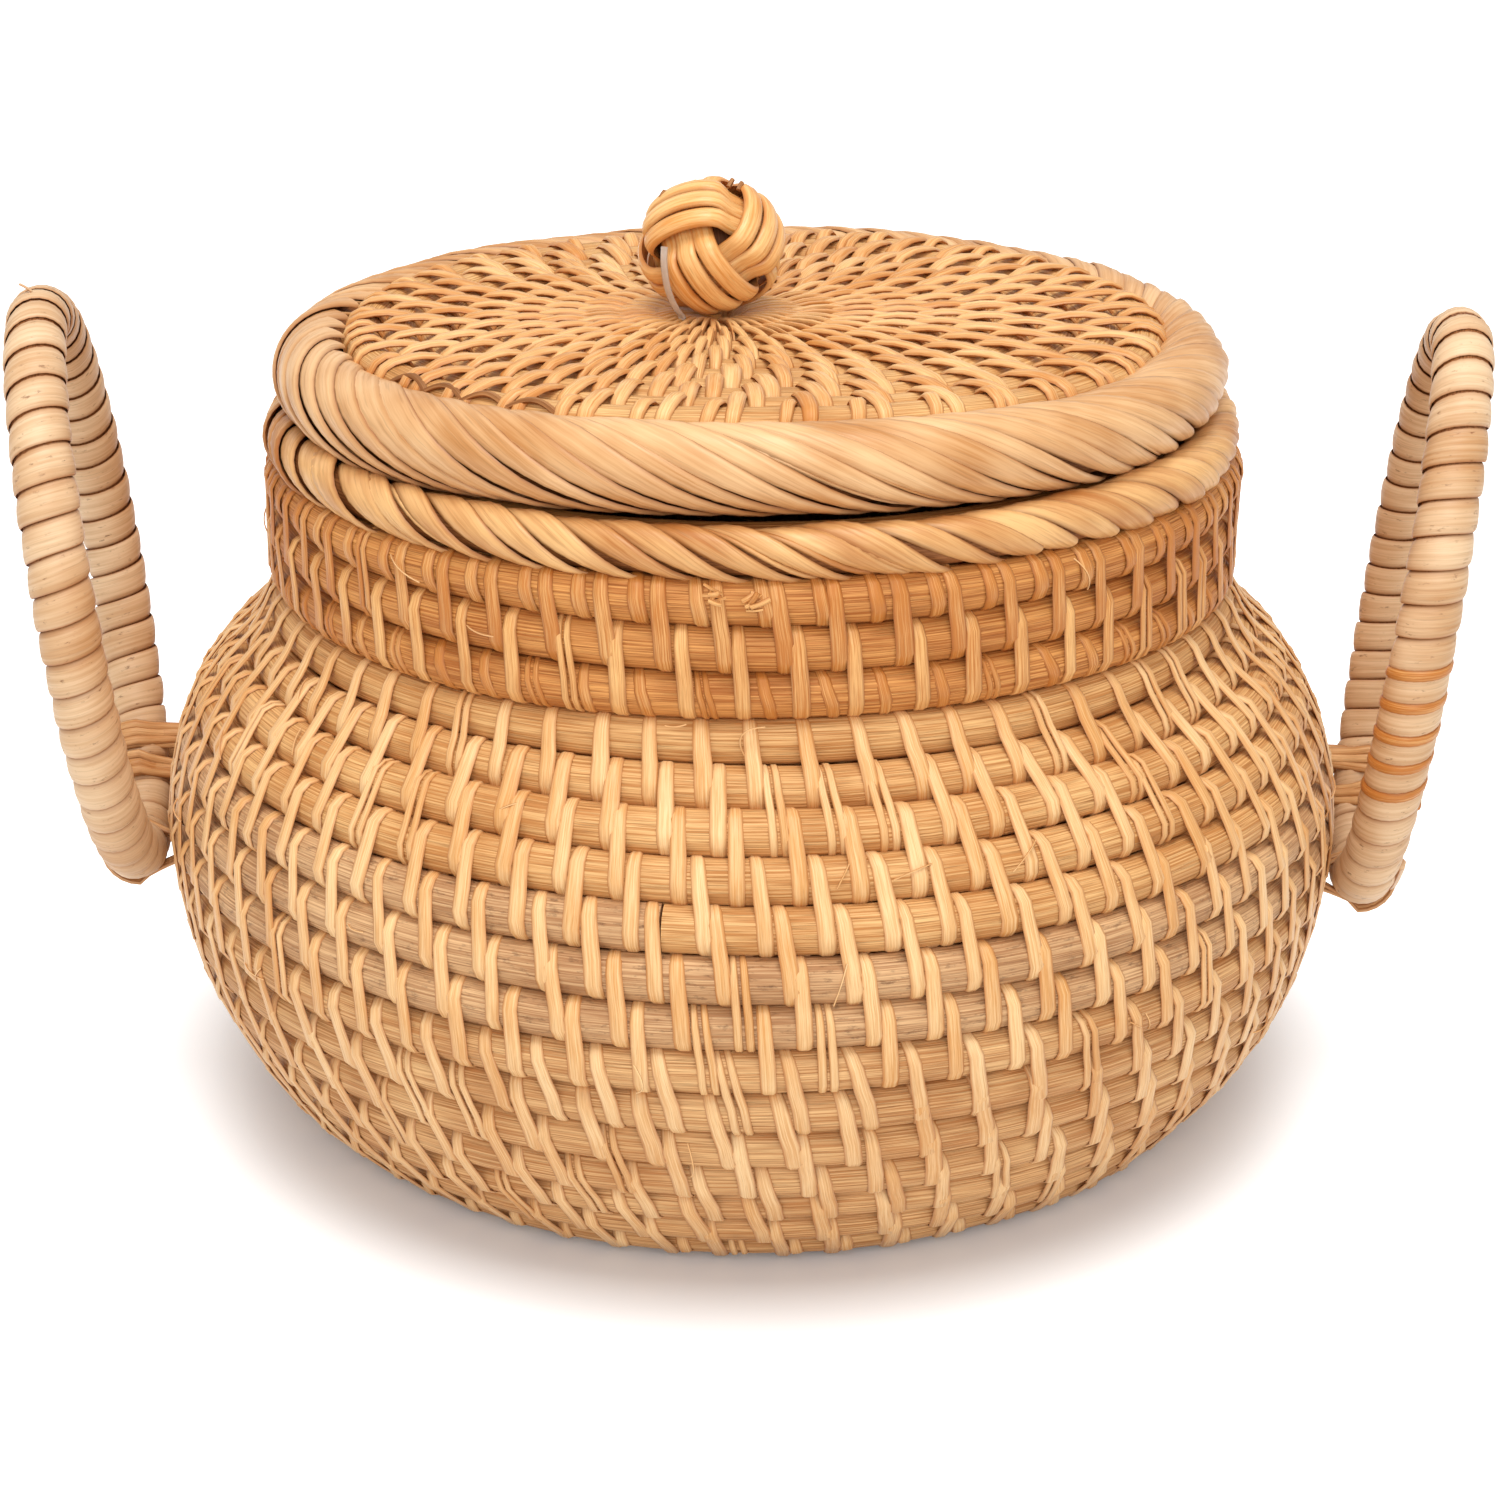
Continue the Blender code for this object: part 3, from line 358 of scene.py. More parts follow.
for part, first, last, material in (
        ("base", 0.0, FIRST_BELLY_ROW - 0.5, ROD_LOW),
        ("lower_belly", FIRST_BELLY_ROW - 0.5, MIDDLE_ROD_START, ROD_LOW),
        ("middle_belly", MIDDLE_ROD_START, UPPER_ROD_START, ROD_GREY),
        ("upper_belly", UPPER_ROD_START, TOP_ROW - NECK_ROWS + 0.5, ROD_TAN),
        ("neck", TOP_ROW - NECK_ROWS + 0.5, TOP_ROW + LAST_TURNS, ROD_ORANGE)):
    add_rod(part + "_rod", wall_rod, first + BUTT_GAP * (first > 0.0), last - BUTT_GAP,
            wall_half_pitch, CORE_THROUGH, material, part + "_rod", "basket", part + "_coil")

# The stitches of the wall: flat cane splints that bind each row to the one below. A stitch comes
# out above its row, runs down over both rows, goes in under the lower one, and comes back inside.
STITCH_WIDTH, STITCH_THICKNESS = 0.0026, 0.0005
STITCH_ACROSS, STITCH_THROUGH = 0.00362, CORE_THROUGH + 0.00027
LENS_ACROSS = np.array([-1.0, -0.55, 0.55, 1.0, 0.55, -0.55])
LENS_THROUGH = np.array([-0.1, 0.5, 0.5, -0.1, -0.5, -0.5])
# Share of painted shade at each point of the lens outline: its sides and back are darkened as if
# shaded.
LENS_EDGE_SHADE = np.array([1.0, 0.0, 0.0, 1.0, 0.5, 0.5])
STITCH_ANGLES = np.radians([105.0, 78.0, 48.0, 16.0])


def stitch_outlines(rod, start, lean, width, aside=0.0, across=STITCH_ACROSS,
                    through=STITCH_THROUGH, thickness=STITCH_THICKNESS, dip=0.0002, taper=0.16,
                    short=False):
    """Outlines of stitches (stitch, station, point). The path goes round the upper rod from its
    top to its front, straight down, and round the lower rod to its underside, and moves along the
    rods by lean. Each outline is a flat lens of the splint's width. A short stitch stays on its
    own rod, and a negative through puts it on the wall's inner side."""
    down = np.concatenate([STITCH_ANGLES, [0.0, 0.0], -STITCH_ANGLES[::-1]])
    share = np.array([0.0, 0.0, 0.0, 0.0, 0.33, 0.67, 1.0, 1.0, 1.0, 1.0])
    run = np.array([0.0, 0.12, 0.3, 0.5, 0.82, 1.18, 1.5, 1.7, 1.88, 2.0]) / 2.0
    if short:
        down = np.concatenate([STITCH_ANGLES, [0.0], -STITCH_ANGLES[::-1]])
        share, run = np.zeros(9), np.linspace(0.0, 1.0, 9)
    if through < 0.0:
        down = 0.8 * down
    turns = start[:, None] + lean[:, None] * (1.0 - (1.0 - run) ** 1.35)
    upper, upper_along, upper_away = rod(turns)
    lower, lower_along, lower_away = rod(turns - 1.0)
    blend = share[None, :, None]
    middle = (1.0 - blend) * upper + blend * lower
    up_wall = unit((1.0 - blend) * upper_along + blend * lower_along)
    away = unit((1.0 - blend) * upper_away + blend * lower_away)
    normal = unit(np.sin(down)[:, None] * up_wall + np.sign(through) * np.cos(down)[:, None] * away)
    across = np.reshape(across, (-1, 1, 1))
    path = middle + across * np.sin(down)[:, None] * up_wall + through * np.cos(down)[:, None] * away
    path = path - (np.sign(through) * dip * np.sin(math.pi * share))[:, None] * away
    run_way = unit(np.gradient(path, axis=1))
    side = unit(np.cross(normal, run_way))
    half = width[:, None] / 2.0 * (1.0 - taper * (1.6 * (1.0 - run) ** 3 + 0.5 * run ** 8))
    path = path + (np.zeros_like(start) + aside)[:, None, None] * side
    outlines = (path[:, :, None]
                + (half[:, :, None] * LENS_ACROSS)[..., None] * side[:, :, None]
                + (thickness * LENS_THROUGH)[:, None] * normal[:, :, None])
    return outlines, way_along(path)


def lens_outlines(path, outwards, half, thickness):
    """Flat lenses carried along paths (strip, station), square to their run, with a face turned
    outwards. Half gives half their widths."""
    run_way = unit(np.gradient(path, axis=1))
    side = unit(np.cross(outwards, run_way))
    normal = np.cross(run_way, side)
    half = np.reshape(half, (-1, 1, 1, 1)) * LENS_ACROSS[:, None]
    outlines = (path[:, :, None] + half * side[:, :, None]
                + thickness * LENS_THROUGH[:, None] * normal[:, :, None])
    return outlines, way_along(path)


def add_splints(name, batch, tone, material, slot, body, *nodes, closed=False, half_width=0.0014,
                across=LENS_ACROSS, edge_shade=LENS_EDGE_SHADE):
    """One object from a batch of equally built splints, each with fibres of its own."""
    points, lengths = batch
    lengths = lengths + rng.uniform(0.0, 900.0, (len(lengths), 1))
    piece = strips(name, points, lengths, 1000.0 * half_width * np.append(across, -1.0), tone, edge_shade,
                   closed)
    lay_in(piece, material, slot, body, *nodes)


def stitch_starts(first, last, turns, counts):
    """Turns at which stitches start: where the running count, the integral of the stitches in a
    round, passes a whole number."""
    fine = np.linspace(turns[0], turns[-1], 4001)
    density = np.interp(fine, turns, counts)
    running = np.concatenate([[0.0], np.cumsum((density[1:] + density[:-1]) / 2.0 * np.diff(fine))])
    whole = np.arange(1, int(running[-1]))
    starts = np.interp(whole, running, fine)
    return starts[(starts > first) & (starts < last)]


def hand_laid(starts, lean, width, split_share=0.1):
    """Small differences between stitches, and a share of them split lengthwise into two."""
    count = len(starts)
    spacing = np.gradient(starts)
    starts = starts + spacing * rng.normal(0.0, 0.035, count)
    lean = spacing * (lean + 0.06 * np.sin(2.0 * math.pi * starts * 1.7)
                      + rng.normal(0.0, 0.05, count))
    width = width * (1.0 + rng.normal(0.0, 0.06, count))
    split = rng.random(count) < split_share
    keep = ~split
    half = width[split] * 0.52
    apart = half * 0.5 + rng.uniform(0.0, 0.0001, split.sum())
    return (np.concatenate([starts[keep], starts[split], starts[split]]),
            np.concatenate([lean[keep], lean[split] - 0.0002, lean[split] + 0.0004]),
            np.concatenate([width[keep], half, half]),
            np.concatenate([np.zeros(keep.sum()), -apart, apart]))


STITCH_TURNS = np.array([1.0, 9.5, 9.6, 12.45, 12.55, 15.45, 15.55, 23.45, 23.55, 27.5])
STITCH_COUNTS = np.array([7.0, 47.5, 56.36, 56.36, 61.36, 61.36, 66.36, 66.36, 57.36, 57.36])
STITCH_PALE = cane_finish("stitch_pale", display(246, 205, 149), display(215, 153, 87),
                          edge_shade=display(178, 106, 48), roughness=0.4)
STITCH_LOW = cane_finish("stitch_low", display(245, 206, 153), display(215, 156, 94),
                         edge_shade=display(172, 102, 48), roughness=0.42)
STITCH_NECK = cane_finish("stitch_neck", display(243, 192, 125), display(194, 120, 52),
                          edge_shade=display(152, 84, 32), roughness=0.42)

for part, first, last, lean, material in (
        ("base", 1.2, 9.5, 0.1, STITCH_LOW),
        ("lower_belly", 9.5, 16.5, 0.34, STITCH_LOW),
        ("middle_belly", 16.5, 18.97, 0.2, STITCH_PALE),
        ("upper_belly", 18.97, 23.5, 0.18, STITCH_PALE),
        ("neck", 24.5, 26.5, 0.14, STITCH_NECK)):
    starts = stitch_starts(first, last, STITCH_TURNS, STITCH_COUNTS)
    starts, lean, width, aside = hand_laid(starts, lean, STITCH_WIDTH)
    batch = stitch_outlines(wall_rod, starts, lean, width, aside)
    tone = np.clip(rng.normal(0.25, 0.17, len(starts)), 0.0, 1.0)
    if part == "neck":
        tone = np.where(starts > 25.5, tone + 0.45, tone * 0.6 + 0.1)
    add_splints(part + "_stitches", batch, tone, material, part + "_rod", "basket")
    starts = stitch_starts(first, last, STITCH_TURNS, STITCH_COUNTS)
    starts, lean, width, aside = hand_laid(starts, -0.2, STITCH_WIDTH)
    batch = stitch_outlines(wall_rod, starts, lean, width, aside, through=-STITCH_THROUGH)
    tone = np.clip(rng.normal(0.4, 0.17, len(starts)), 0.0, 1.0)
    add_splints(part + "_inner_stitches", batch, tone, material, part + "_rod", "basket")

# Short cane stitches at the neck. Its first row sits back in the crease, and its own stitches are
# dark, thin and twisted, and hold that row alone. Under the rim, the last ones come out over the
# top row only.
starts = stitch_starts(23.5, 24.5, STITCH_TURNS, STITCH_COUNTS)
starts, lean, width, aside = hand_laid(starts, 0.3, 0.8 * STITCH_WIDTH, 0.4)
batch = stitch_outlines(wall_rod, starts, lean, width, aside, through=STITCH_THROUGH - 0.0002,
                        short=True)
add_splints("crease_stitches", batch, np.clip(rng.normal(0.8, 0.12, len(starts)), 0.0, 1.0),
            STITCH_NECK, "neck_rod", "basket")
starts = stitch_starts(26.5, 27.5, STITCH_TURNS, STITCH_COUNTS) - 1.0
starts, lean, width, aside = hand_laid(starts, 0.12, 0.95 * STITCH_WIDTH)
batch = stitch_outlines(wall_rod, starts, lean, width, aside, short=True)
add_splints("top_row_stitches", batch, np.clip(rng.normal(0.7, 0.15, len(starts)), 0.0, 1.0),
            STITCH_NECK, "neck_rod", "basket")

# Loose ends on the wall: fine hairs of cane that have come away from the splints, all round and at
# places seen in front, and two cut tufts below the rim. The places are given in millimetres.
HAIRS = np.array([[[-1.0, -81.2, 86.1], [-3.4, -82.5, 90.9], [1.9, -80.9, 90.6]],
                  [[-12.7, -80.0, 90.5], [-11.2, -81.0, 90.4], [-9.6, -80.3, 90.8]],
                  [[-9.5, -96.2, 30.5], [-8.0, -99.8, 27.0], [-9.2, -94.8, 24.2]],
                  [[-17.2, -98.6, 44.6], [-14.8, -102.0, 42.0], [-16.9, -98.2, 39.9]],
                  [[47.6, -65.4, 111.4], [50.6, -67.3, 109.5], [49.9, -64.4, 106.3]]]) / 1000.0
TUFTS = np.array([[-5.2, -81.9, 111.3], [0.6, -81.7, 110.3]]) / 1000.0
HAIR_COUNT, HAIR_ENDS_LIFT, TUFT_FIBRES = 44, 0.003, 7


def free_curves(ends):
    """Curves with a first, middle and last point: (1-t)^2 first + 2t(1-t) middle + t^2 last."""
    share = np.linspace(0.0, 1.0, 9)[:, None]
    return ((1.0 - share) ** 2 * ends[:, None, 0] + 2.0 * share * (1.0 - share) * ends[:, None, 1]
            + share ** 2 * ends[:, None, 2])


places, along, away = wall_rod(rng.uniform(11.0, 26.0, HAIR_COUNT))
reach = rng.uniform(0.0015, 0.0035, (HAIR_COUNT, 1)) * rng.choice([-1.0, 1.0], (HAIR_COUNT, 1))
spin = rng.uniform(0.0, math.pi, (HAIR_COUNT, 1))
lying = reach * (np.cos(spin) * along + np.sin(spin) * np.cross(along, away))
middles = places + (CORE_THROUGH + rng.uniform(0.0008, 0.0022, (HAIR_COUNT, 1))) * away
places = places + HAIR_ENDS_LIFT * away
ends = np.stack([places - lying, middles, places + lying], axis=1)
path = free_curves(np.concatenate([HAIRS, ends]))
batch = lens_outlines(path, unit(path * [1.0, 1.0, 0.0]), 0.00013, 0.00022)
add_splints("loose_hairs", batch, np.full(len(path), 0.1), STITCH_PALE, "upper_belly_rod", "basket",
            half_width=0.0001)
count = len(TUFTS) * TUFT_FIBRES
centres = np.repeat(TUFTS, TUFT_FIBRES, axis=0) + rng.normal(0.0, 0.0005, (count, 3))
lean = np.repeat([-0.35, 0.55], TUFT_FIBRES) + rng.normal(0.0, 0.45, count)
lying = np.stack([np.cos(lean), rng.normal(0.0, 0.25, count), np.sin(lean)], axis=1)
lying = lying * rng.uniform(0.0006, 0.0015, (count, 1))
ends = np.stack([centres - lying, centres - [0.0, 0.0006, 0.0], centres + lying], axis=1)
path = free_curves(ends)
batch = lens_outlines(path, unit(path * [1.0, 1.0, 0.0]), rng.uniform(0.0002, 0.0005, count), 0.0005)
add_splints("cut_tufts", batch, rng.uniform(0.1, 0.8, count), STITCH_NECK, "neck_rod", "basket",
            half_width=0.0004)

# The rim of the mouth: a rod on the wall's top edge, wrapped slantwise with flat splints that come
# over it from inside and go in again under its outer edge. Front right, they end square before
# that. Thin splints fill a dozen of the gaps.
RIM_LOW, RIM_HIGH = (np.array(corner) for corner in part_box("rim_rod"))
RIM_RADIUS, RIM_ROD, RIM_OUTER = NECK_RADIUS - 0.0013, 0.0031, 0.0041
RIM_HEIGHT = (RIM_LOW[2] + RIM_HIGH[2]) / 2.0
RIM_STRANDS, RIM_ADVANCE, RIM_THIN_STRANDS, RIM_STATIONS = 63, 0.038, 12, 19
RIM_WIDTH, WRAP_THICKNESS, WRAP_TILT, WRAP_SINK = 0.0042, 0.001, 0.0003, 0.0005
RIM_START, RIM_END, RIM_SQUARE_END = 222.0, -100.0, -50.0
RIM_SQUARE_PLACES, RIM_WIDE_PLACES, RIM_WIDENING = (304.0, 348.0), (165.0, 262.0), 1.13
RIM_SHARES = (0.5, 0.62, 0.68, 0.8, 0.98, 0.8)
RIM_SQUARE_SHARES = (0.84, 0.92, 0.95, 0.98, 1.0, 0.8)
CROWN_ACROSS = np.array([-1.0, -0.86, -0.5, 0.0, 0.5, 0.86, 1.0, 0.5, -0.5])
CROWN_THROUGH = np.array([-0.4, 0.1, 0.42, 0.5, 0.42, 0.1, -0.4, -0.5, -0.5])
# Share of painted shade at each point of the crowned outline: darkest at its sides and underside.
CROWN_EDGE_SHADE = np.array([1.0, 0.34, 0.0, 0.0, 0.0, 0.34, 1.0, 0.9, 0.9])


def mouth_rim(angle):
    """Middle of the mouth's rim at an angle, with the directions out and up."""
    out = np.stack([np.cos(angle), np.sin(angle), 0.0 * angle], axis=-1)
    return RIM_RADIUS * out + RIM_HEIGHT * UP, out, UP + 0.0 * out


def ring_rod(name, ring, radius, material, slot, body, node, squeeze=1.0):
    """A whole ring of rod: a round outline carried round the ring. Squeeze is its width over its
    height."""
    angle = np.arange(192) * 2.0 * math.pi / 192
    middle, out, up = ring(angle)
    around = np.arange(ROD_SIDES) * 2.0 * math.pi / ROD_SIDES
    outlines = (middle[:, None] + radius * squeeze * np.cos(around)[:, None] * out[:, None]
                + radius * np.sin(around)[:, None] * up[:, None])
    run = 1000.0 * np.linalg.norm(middle[0, :2]) * np.arange(193) * 2.0 * math.pi / 192
    round_rod = 2000.0 * math.pi * radius * np.arange(ROD_SIDES + 1) / ROD_SIDES
    piece = strips(name, outlines[None], run[None], round_rod, np.array([0.4]), np.zeros(ROD_SIDES),
                   closed=True)
    lay_in(piece, material, slot, body, node)


def wrapped_outlines(ring, first_angle, turn, width, lift, advance, radius, thickness, tilt, thin):
    """Outlines of splints wrapped round a rim: each runs along a helix of the given advance a
    turn, from its first to its last angle round the rim's section, as a crowned outline that is
    tipped to one side. Thin gives the share of its width left along it."""
    middle, out, up = ring(first_angle[:, None] + (turn[0] - turn) / (2.0 * math.pi) * advance)
    normal = np.cos(turn)[:, None] * out + np.sin(turn)[:, None] * up
    path = middle + (radius + lift)[:, None, None] * normal
    run_way = unit(np.gradient(path, axis=1))
    side = unit(np.cross(normal, run_way))
    half = width[:, None] / 2.0 * thin
    shape = thickness * CROWN_THROUGH + tilt * CROWN_ACROSS
    outlines = (path[:, :, None] + (half[:, :, None] * CROWN_ACROSS)[..., None] * side[:, :, None]
                + shape[:, None] * normal[:, :, None])
    return outlines, way_along(path)


RIM_GRAIN = dict(roughness=0.4, fibre=1.5, streak=0.45, patch=0.6, bump=0.25, cracks=0.25)
RIM_SPLINT = cane_finish("rim_splint", display(234, 184, 122), display(182, 116, 58),
                         edge_shade=display(136, 74, 30), length=0.05, **RIM_GRAIN)
ring_rod("rim_core", mouth_rim, RIM_ROD, SHADED_ROD, "rim_core", "basket", "rim_rod")
angles = (np.arange(RIM_STRANDS) + rng.normal(0.0, 0.08, RIM_STRANDS)) * 2.0 * math.pi / RIM_STRANDS
ended = np.degrees(angles + 0.9 * RIM_ADVANCE / RIM_RADIUS) % 360.0
squared = (ended > RIM_SQUARE_PLACES[0]) & (ended < RIM_SQUARE_PLACES[1])
widened = (ended > RIM_WIDE_PLACES[0]) & (ended < RIM_WIDE_PLACES[1])
tone = np.clip(rng.normal(0.3, 0.22, RIM_STRANDS), 0.0, 1.0)
width = RIM_WIDTH * (1.0 + rng.normal(0.0, 0.1, RIM_STRANDS)) * np.where(widened, RIM_WIDENING, 1.0)
lift = rng.uniform(-0.0002, 0.0004, RIM_STRANDS)
for name, chosen, last, shares, nodes in (
        ("rim_strands", ~squared, RIM_END, RIM_SHARES, ["rim_binding"]),
        ("rim_square_ends", squared, RIM_SQUARE_END, RIM_SQUARE_SHARES, [])):
    turn = np.radians(np.linspace(RIM_START, last, RIM_STATIONS))
    places = [last, last + 16.0, last + 40.0, 0.0, 50.0, RIM_START]
    batch = wrapped_outlines(mouth_rim, angles[chosen], turn, width[chosen], lift[chosen],
                             RIM_ADVANCE / RIM_RADIUS, RIM_OUTER - WRAP_SINK, WRAP_THICKNESS,
                             WRAP_TILT, np.interp(np.degrees(turn), places, shares))
    add_splints(name, batch, tone[chosen], RIM_SPLINT, "rim_splints", "basket", *nodes,
                half_width=0.0018, across=CROWN_ACROSS, edge_shade=CROWN_EDGE_SHADE)
angles = rng.permutation(RIM_STRANDS)[:RIM_THIN_STRANDS] + 0.5
turn = np.radians(np.linspace(RIM_START, -98.0, RIM_STATIONS))
batch = wrapped_outlines(mouth_rim, angles * 2.0 * math.pi / RIM_STRANDS, turn,
                         rng.uniform(0.0008, 0.0015, RIM_THIN_STRANDS),
                         rng.uniform(-0.0005, 0.0, RIM_THIN_STRANDS), RIM_ADVANCE / RIM_RADIUS,
                         RIM_OUTER - WRAP_SINK - 0.0001, 0.0009, 0.0, np.ones(RIM_STATIONS))
add_splints("rim_thin_strands", batch, np.clip(rng.normal(0.6, 0.3, RIM_THIN_STRANDS), 0.0, 1.0),
            RIM_SPLINT, "rim_splints", "basket", half_width=0.0006, across=CROWN_ACROSS,
            edge_shade=CROWN_EDGE_SHADE)

# Handles: two hoops of rod that lean out from the belly, each bound all round with one flat peel of
# cane, laid edge to edge. The left peel has a splinter at its top. On the right one, a brown strip
# of painted shade lies along the lower edge of a few turns in front, and its end lies flat at the
# foot.
HANDLE_ROD, HANDLE_STATIONS, HOOP_FOOT = 0.0043, 160, 165.0
PEEL_OUTER, PEEL_PITCH, PEEL_OVERLAP, PEEL_STATIONS = 0.005, 0.0053, 0.9, 22
PEEL_HALF, PEEL_THICKNESS, PEEL_TILT, PEEL_SINK = 0.489, 0.00045, -0.0002, 0.0003
# Places, offset and size of the strip of painted shade on the right peel.
SHADE_BAND_PLACES, SHADE_BAND_ASIDE, SHADE_BAND_HALF, SHADE_BAND_THICKNESS = (234.0, 270.8), 0.36, 0.001, 0.0007
# Share of painted shade round the peel's outline: heavier on the side of each turn that lies under
# its neighbour's edge.
PEEL_EDGE_SHADE = np.array([1.0, 0.2, 0.0, 0.0, 0.08, 0.6, 1.0, 0.8, 0.8])
PEEL = cane_finish("handle_peel", display(230, 196, 156), display(190, 138, 88),
                   edge_shade=display(168, 100, 48), fibre=1.6, length=0.05, streak=0.4, roughness=0.48,
                   patch=0.7, bump=0.3, cracks=0.2,
                   mottle=(display(118, 68, 34), 0.6, 0.7, 0.8))


def hoop_frame(degrees, side, half_width, half_height, swing, lean, middle):
    """Points of an elliptic hoop on edge, with the directions out of the loop and square to it."""
    swing, lean, around = math.radians(swing), math.radians(lean), np.radians(degrees)[..., None]
    away = np.array([side * math.cos(swing), -math.sin(swing), 0.0])
    level = np.array([side * math.sin(swing), math.cos(swing), 0.0])
    rising = math.sin(lean) * away + math.cos(lean) * UP
    normal = math.cos(lean) * away - math.sin(lean) * UP
    place = middle + half_width * np.sin(around) * level + half_height * np.cos(around) * rising
    out = unit(np.sin(around) / half_width * level + np.cos(around) / half_height * rising)
    return place, out, normal + 0.0 * out


def add_handle(word, side, half_width, half_height, swing, lean):
    """Hoop and peel of one handle. The peel is a helix round the hoop, whose outline reaches half
    the true way to the turns before and after it. It is crowned and tipped, so that each turn's
    lower edge stands on the next one, and its last turn lies over its first."""
    low, high = (np.array(corner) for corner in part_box(word + "_handle_hoop"))
    shape = (side, half_width, half_height, swing, lean, (low + high) / 2.0)
    fine = np.linspace(HOOP_FOOT, HOOP_FOOT + 360.0, 2001)
    place = hoop_frame(fine, *shape)[0]
    run = np.concatenate([[0.0], np.cumsum(np.linalg.norm(np.diff(place, axis=0), axis=1))])
    even = np.arange(HANDLE_STATIONS) / HANDLE_STATIONS * run[-1]
    middle, out, normal = hoop_frame(np.interp(even, run, fine), *shape)
    around = np.arange(ROD_SIDES) * 2.0 * math.pi / ROD_SIDES
    outlines = middle[:, None] + HANDLE_ROD * (np.cos(around)[:, None] * out[:, None]
                                               + np.sin(around)[:, None] * normal[:, None])
    core = strips(word + "_hoop_core", outlines[None],
                  np.linspace(0.0, 1000.0 * run[-1], HANDLE_STATIONS + 1)[None],
                  np.linspace(0.0, 24.0, ROD_SIDES + 1), np.array([0.6]), np.zeros(ROD_SIDES), True)
    lay_in(core, SHADED_ROD, word + "_hoop_core", "basket", word + "_handle_hoop")

    winding = np.arange(int((run[-1] / PEEL_PITCH + PEEL_OVERLAP) * PEEL_STATIONS)) / PEEL_STATIONS
    travel = run[-1] / 2.0 + (winding - winding[-1] / 2.0) * PEEL_PITCH
    travel = (travel + wander(winding / 9.0, 0.0004, side)) % run[-1]
    degrees = np.interp(travel, run, fine)
    place, out, normal = hoop_frame(degrees, *shape)
    about = side * 2.0 * math.pi * winding
    outwards = np.cos(about)[:, None] * out + np.sin(about)[:, None] * normal
    over = PEEL_SINK * np.clip(winding - winding[-1] + 1.2, 0.0, 1.0)
    reach = PEEL_OUTER - PEEL_SINK + over + wander(winding / 5.0, 0.00015, 2.0)
    path = place + reach[:, None] * outwards
    onwards = path[PEEL_STATIONS:] - path[:-PEEL_STATIONS]
    ahead = np.concatenate([onwards, onwards[-PEEL_STATIONS:]])[:, None]
    behind = np.concatenate([onwards[:PEEL_STATIONS], onwards])[:, None]
    across = CROWN_ACROSS[:, None]
    flat = across * np.where(across > 0.0, ahead, behind)
    share = PEEL_HALF * (1.0 + wander(winding / 3.0, 0.04, 4.0))
    section = PEEL_THICKNESS * CROWN_THROUGH + PEEL_TILT * CROWN_ACROSS
    outlines = path[:, None] + share[:, None, None] * flat + section[:, None] * outwards[:, None]
    add_splints(word + "_peel", (outlines[None], way_along(path[None])), np.array([0.25]), PEEL,
                word + "_hoop_peel", "basket", word + "_handle_binding", half_width=0.00265,
                across=CROWN_ACROSS, edge_shade=PEEL_EDGE_SHADE)
    # Painted shade: a thin brown strip laid along a few turns of the right peel, where each turn
    # lies under the next.
    shade_band = (degrees % 360.0 > SHADE_BAND_PLACES[0]) & (degrees % 360.0 < SHADE_BAND_PLACES[1]) & (side > 0.0)
    if shade_band.any():
        lower = path[shade_band] + SHADE_BAND_ASIDE * ahead[shade_band, 0] + 0.0001 * outwards[shade_band]
        batch = lens_outlines(lower[None], outwards[shade_band][None], SHADE_BAND_HALF, SHADE_BAND_THICKNESS)
        add_splints(word + "_peel_shade_band", batch, np.array([0.8]), STITCH_NECK, word + "_hoop_peel",
                    "basket", half_width=SHADE_BAND_HALF)
    return shape


LEFT_HOOP = add_handle("left", -1.0, 0.0315, 0.046, 5.2, 6.4)
RIGHT_HOOP = add_handle("right", 1.0, 0.0246, 0.047, 5.8, 6.3)
place, out, _ = hoop_frame(np.array([357.0]), *LEFT_HOOP)
start = place[0] + PEEL_OUTER * out[0]
splinter = start + np.array([[0.0, 0.0, 0.0], [-0.0008, 0.0, 0.0007], [-0.0019, 0.0, 0.0012]])
path = free_curves(splinter[None])
add_splints("left_peel_splinter", lens_outlines(path, out + 0.0 * path, 0.0003, 0.0003),
            np.array([0.5]), PEEL, "left_hoop_peel", "basket", half_width=0.0003)
place, out, normal = hoop_frame(np.linspace(198.0, 215.0, 10), *RIGHT_HOOP)
facing = unit(0.15 * out + normal)
batch = lens_outlines((place + PEEL_OUTER * facing)[None], facing[None], 0.0013, 0.0012)
add_splints("right_peel_end", batch, np.array([0.05]), PEEL, "right_hoop_peel", "basket",
            half_width=0.0013)

# The handles' ties: thin cane splints drawn side by side over the hoop, whose ends go back through
# the belly's wall between two rows.
TIE_HALF, TIE_THICKNESS, TIE_LIFT, TIE_SPREAD = 0.0009, 0.001, 0.0007, (0.0, -0.0015, 0.0014)
TIE_SPLINT = cane_finish("tie_splint", display(238, 192, 136), display(196, 134, 78),
                         edge_shade=display(136, 76, 30), roughness=0.45)


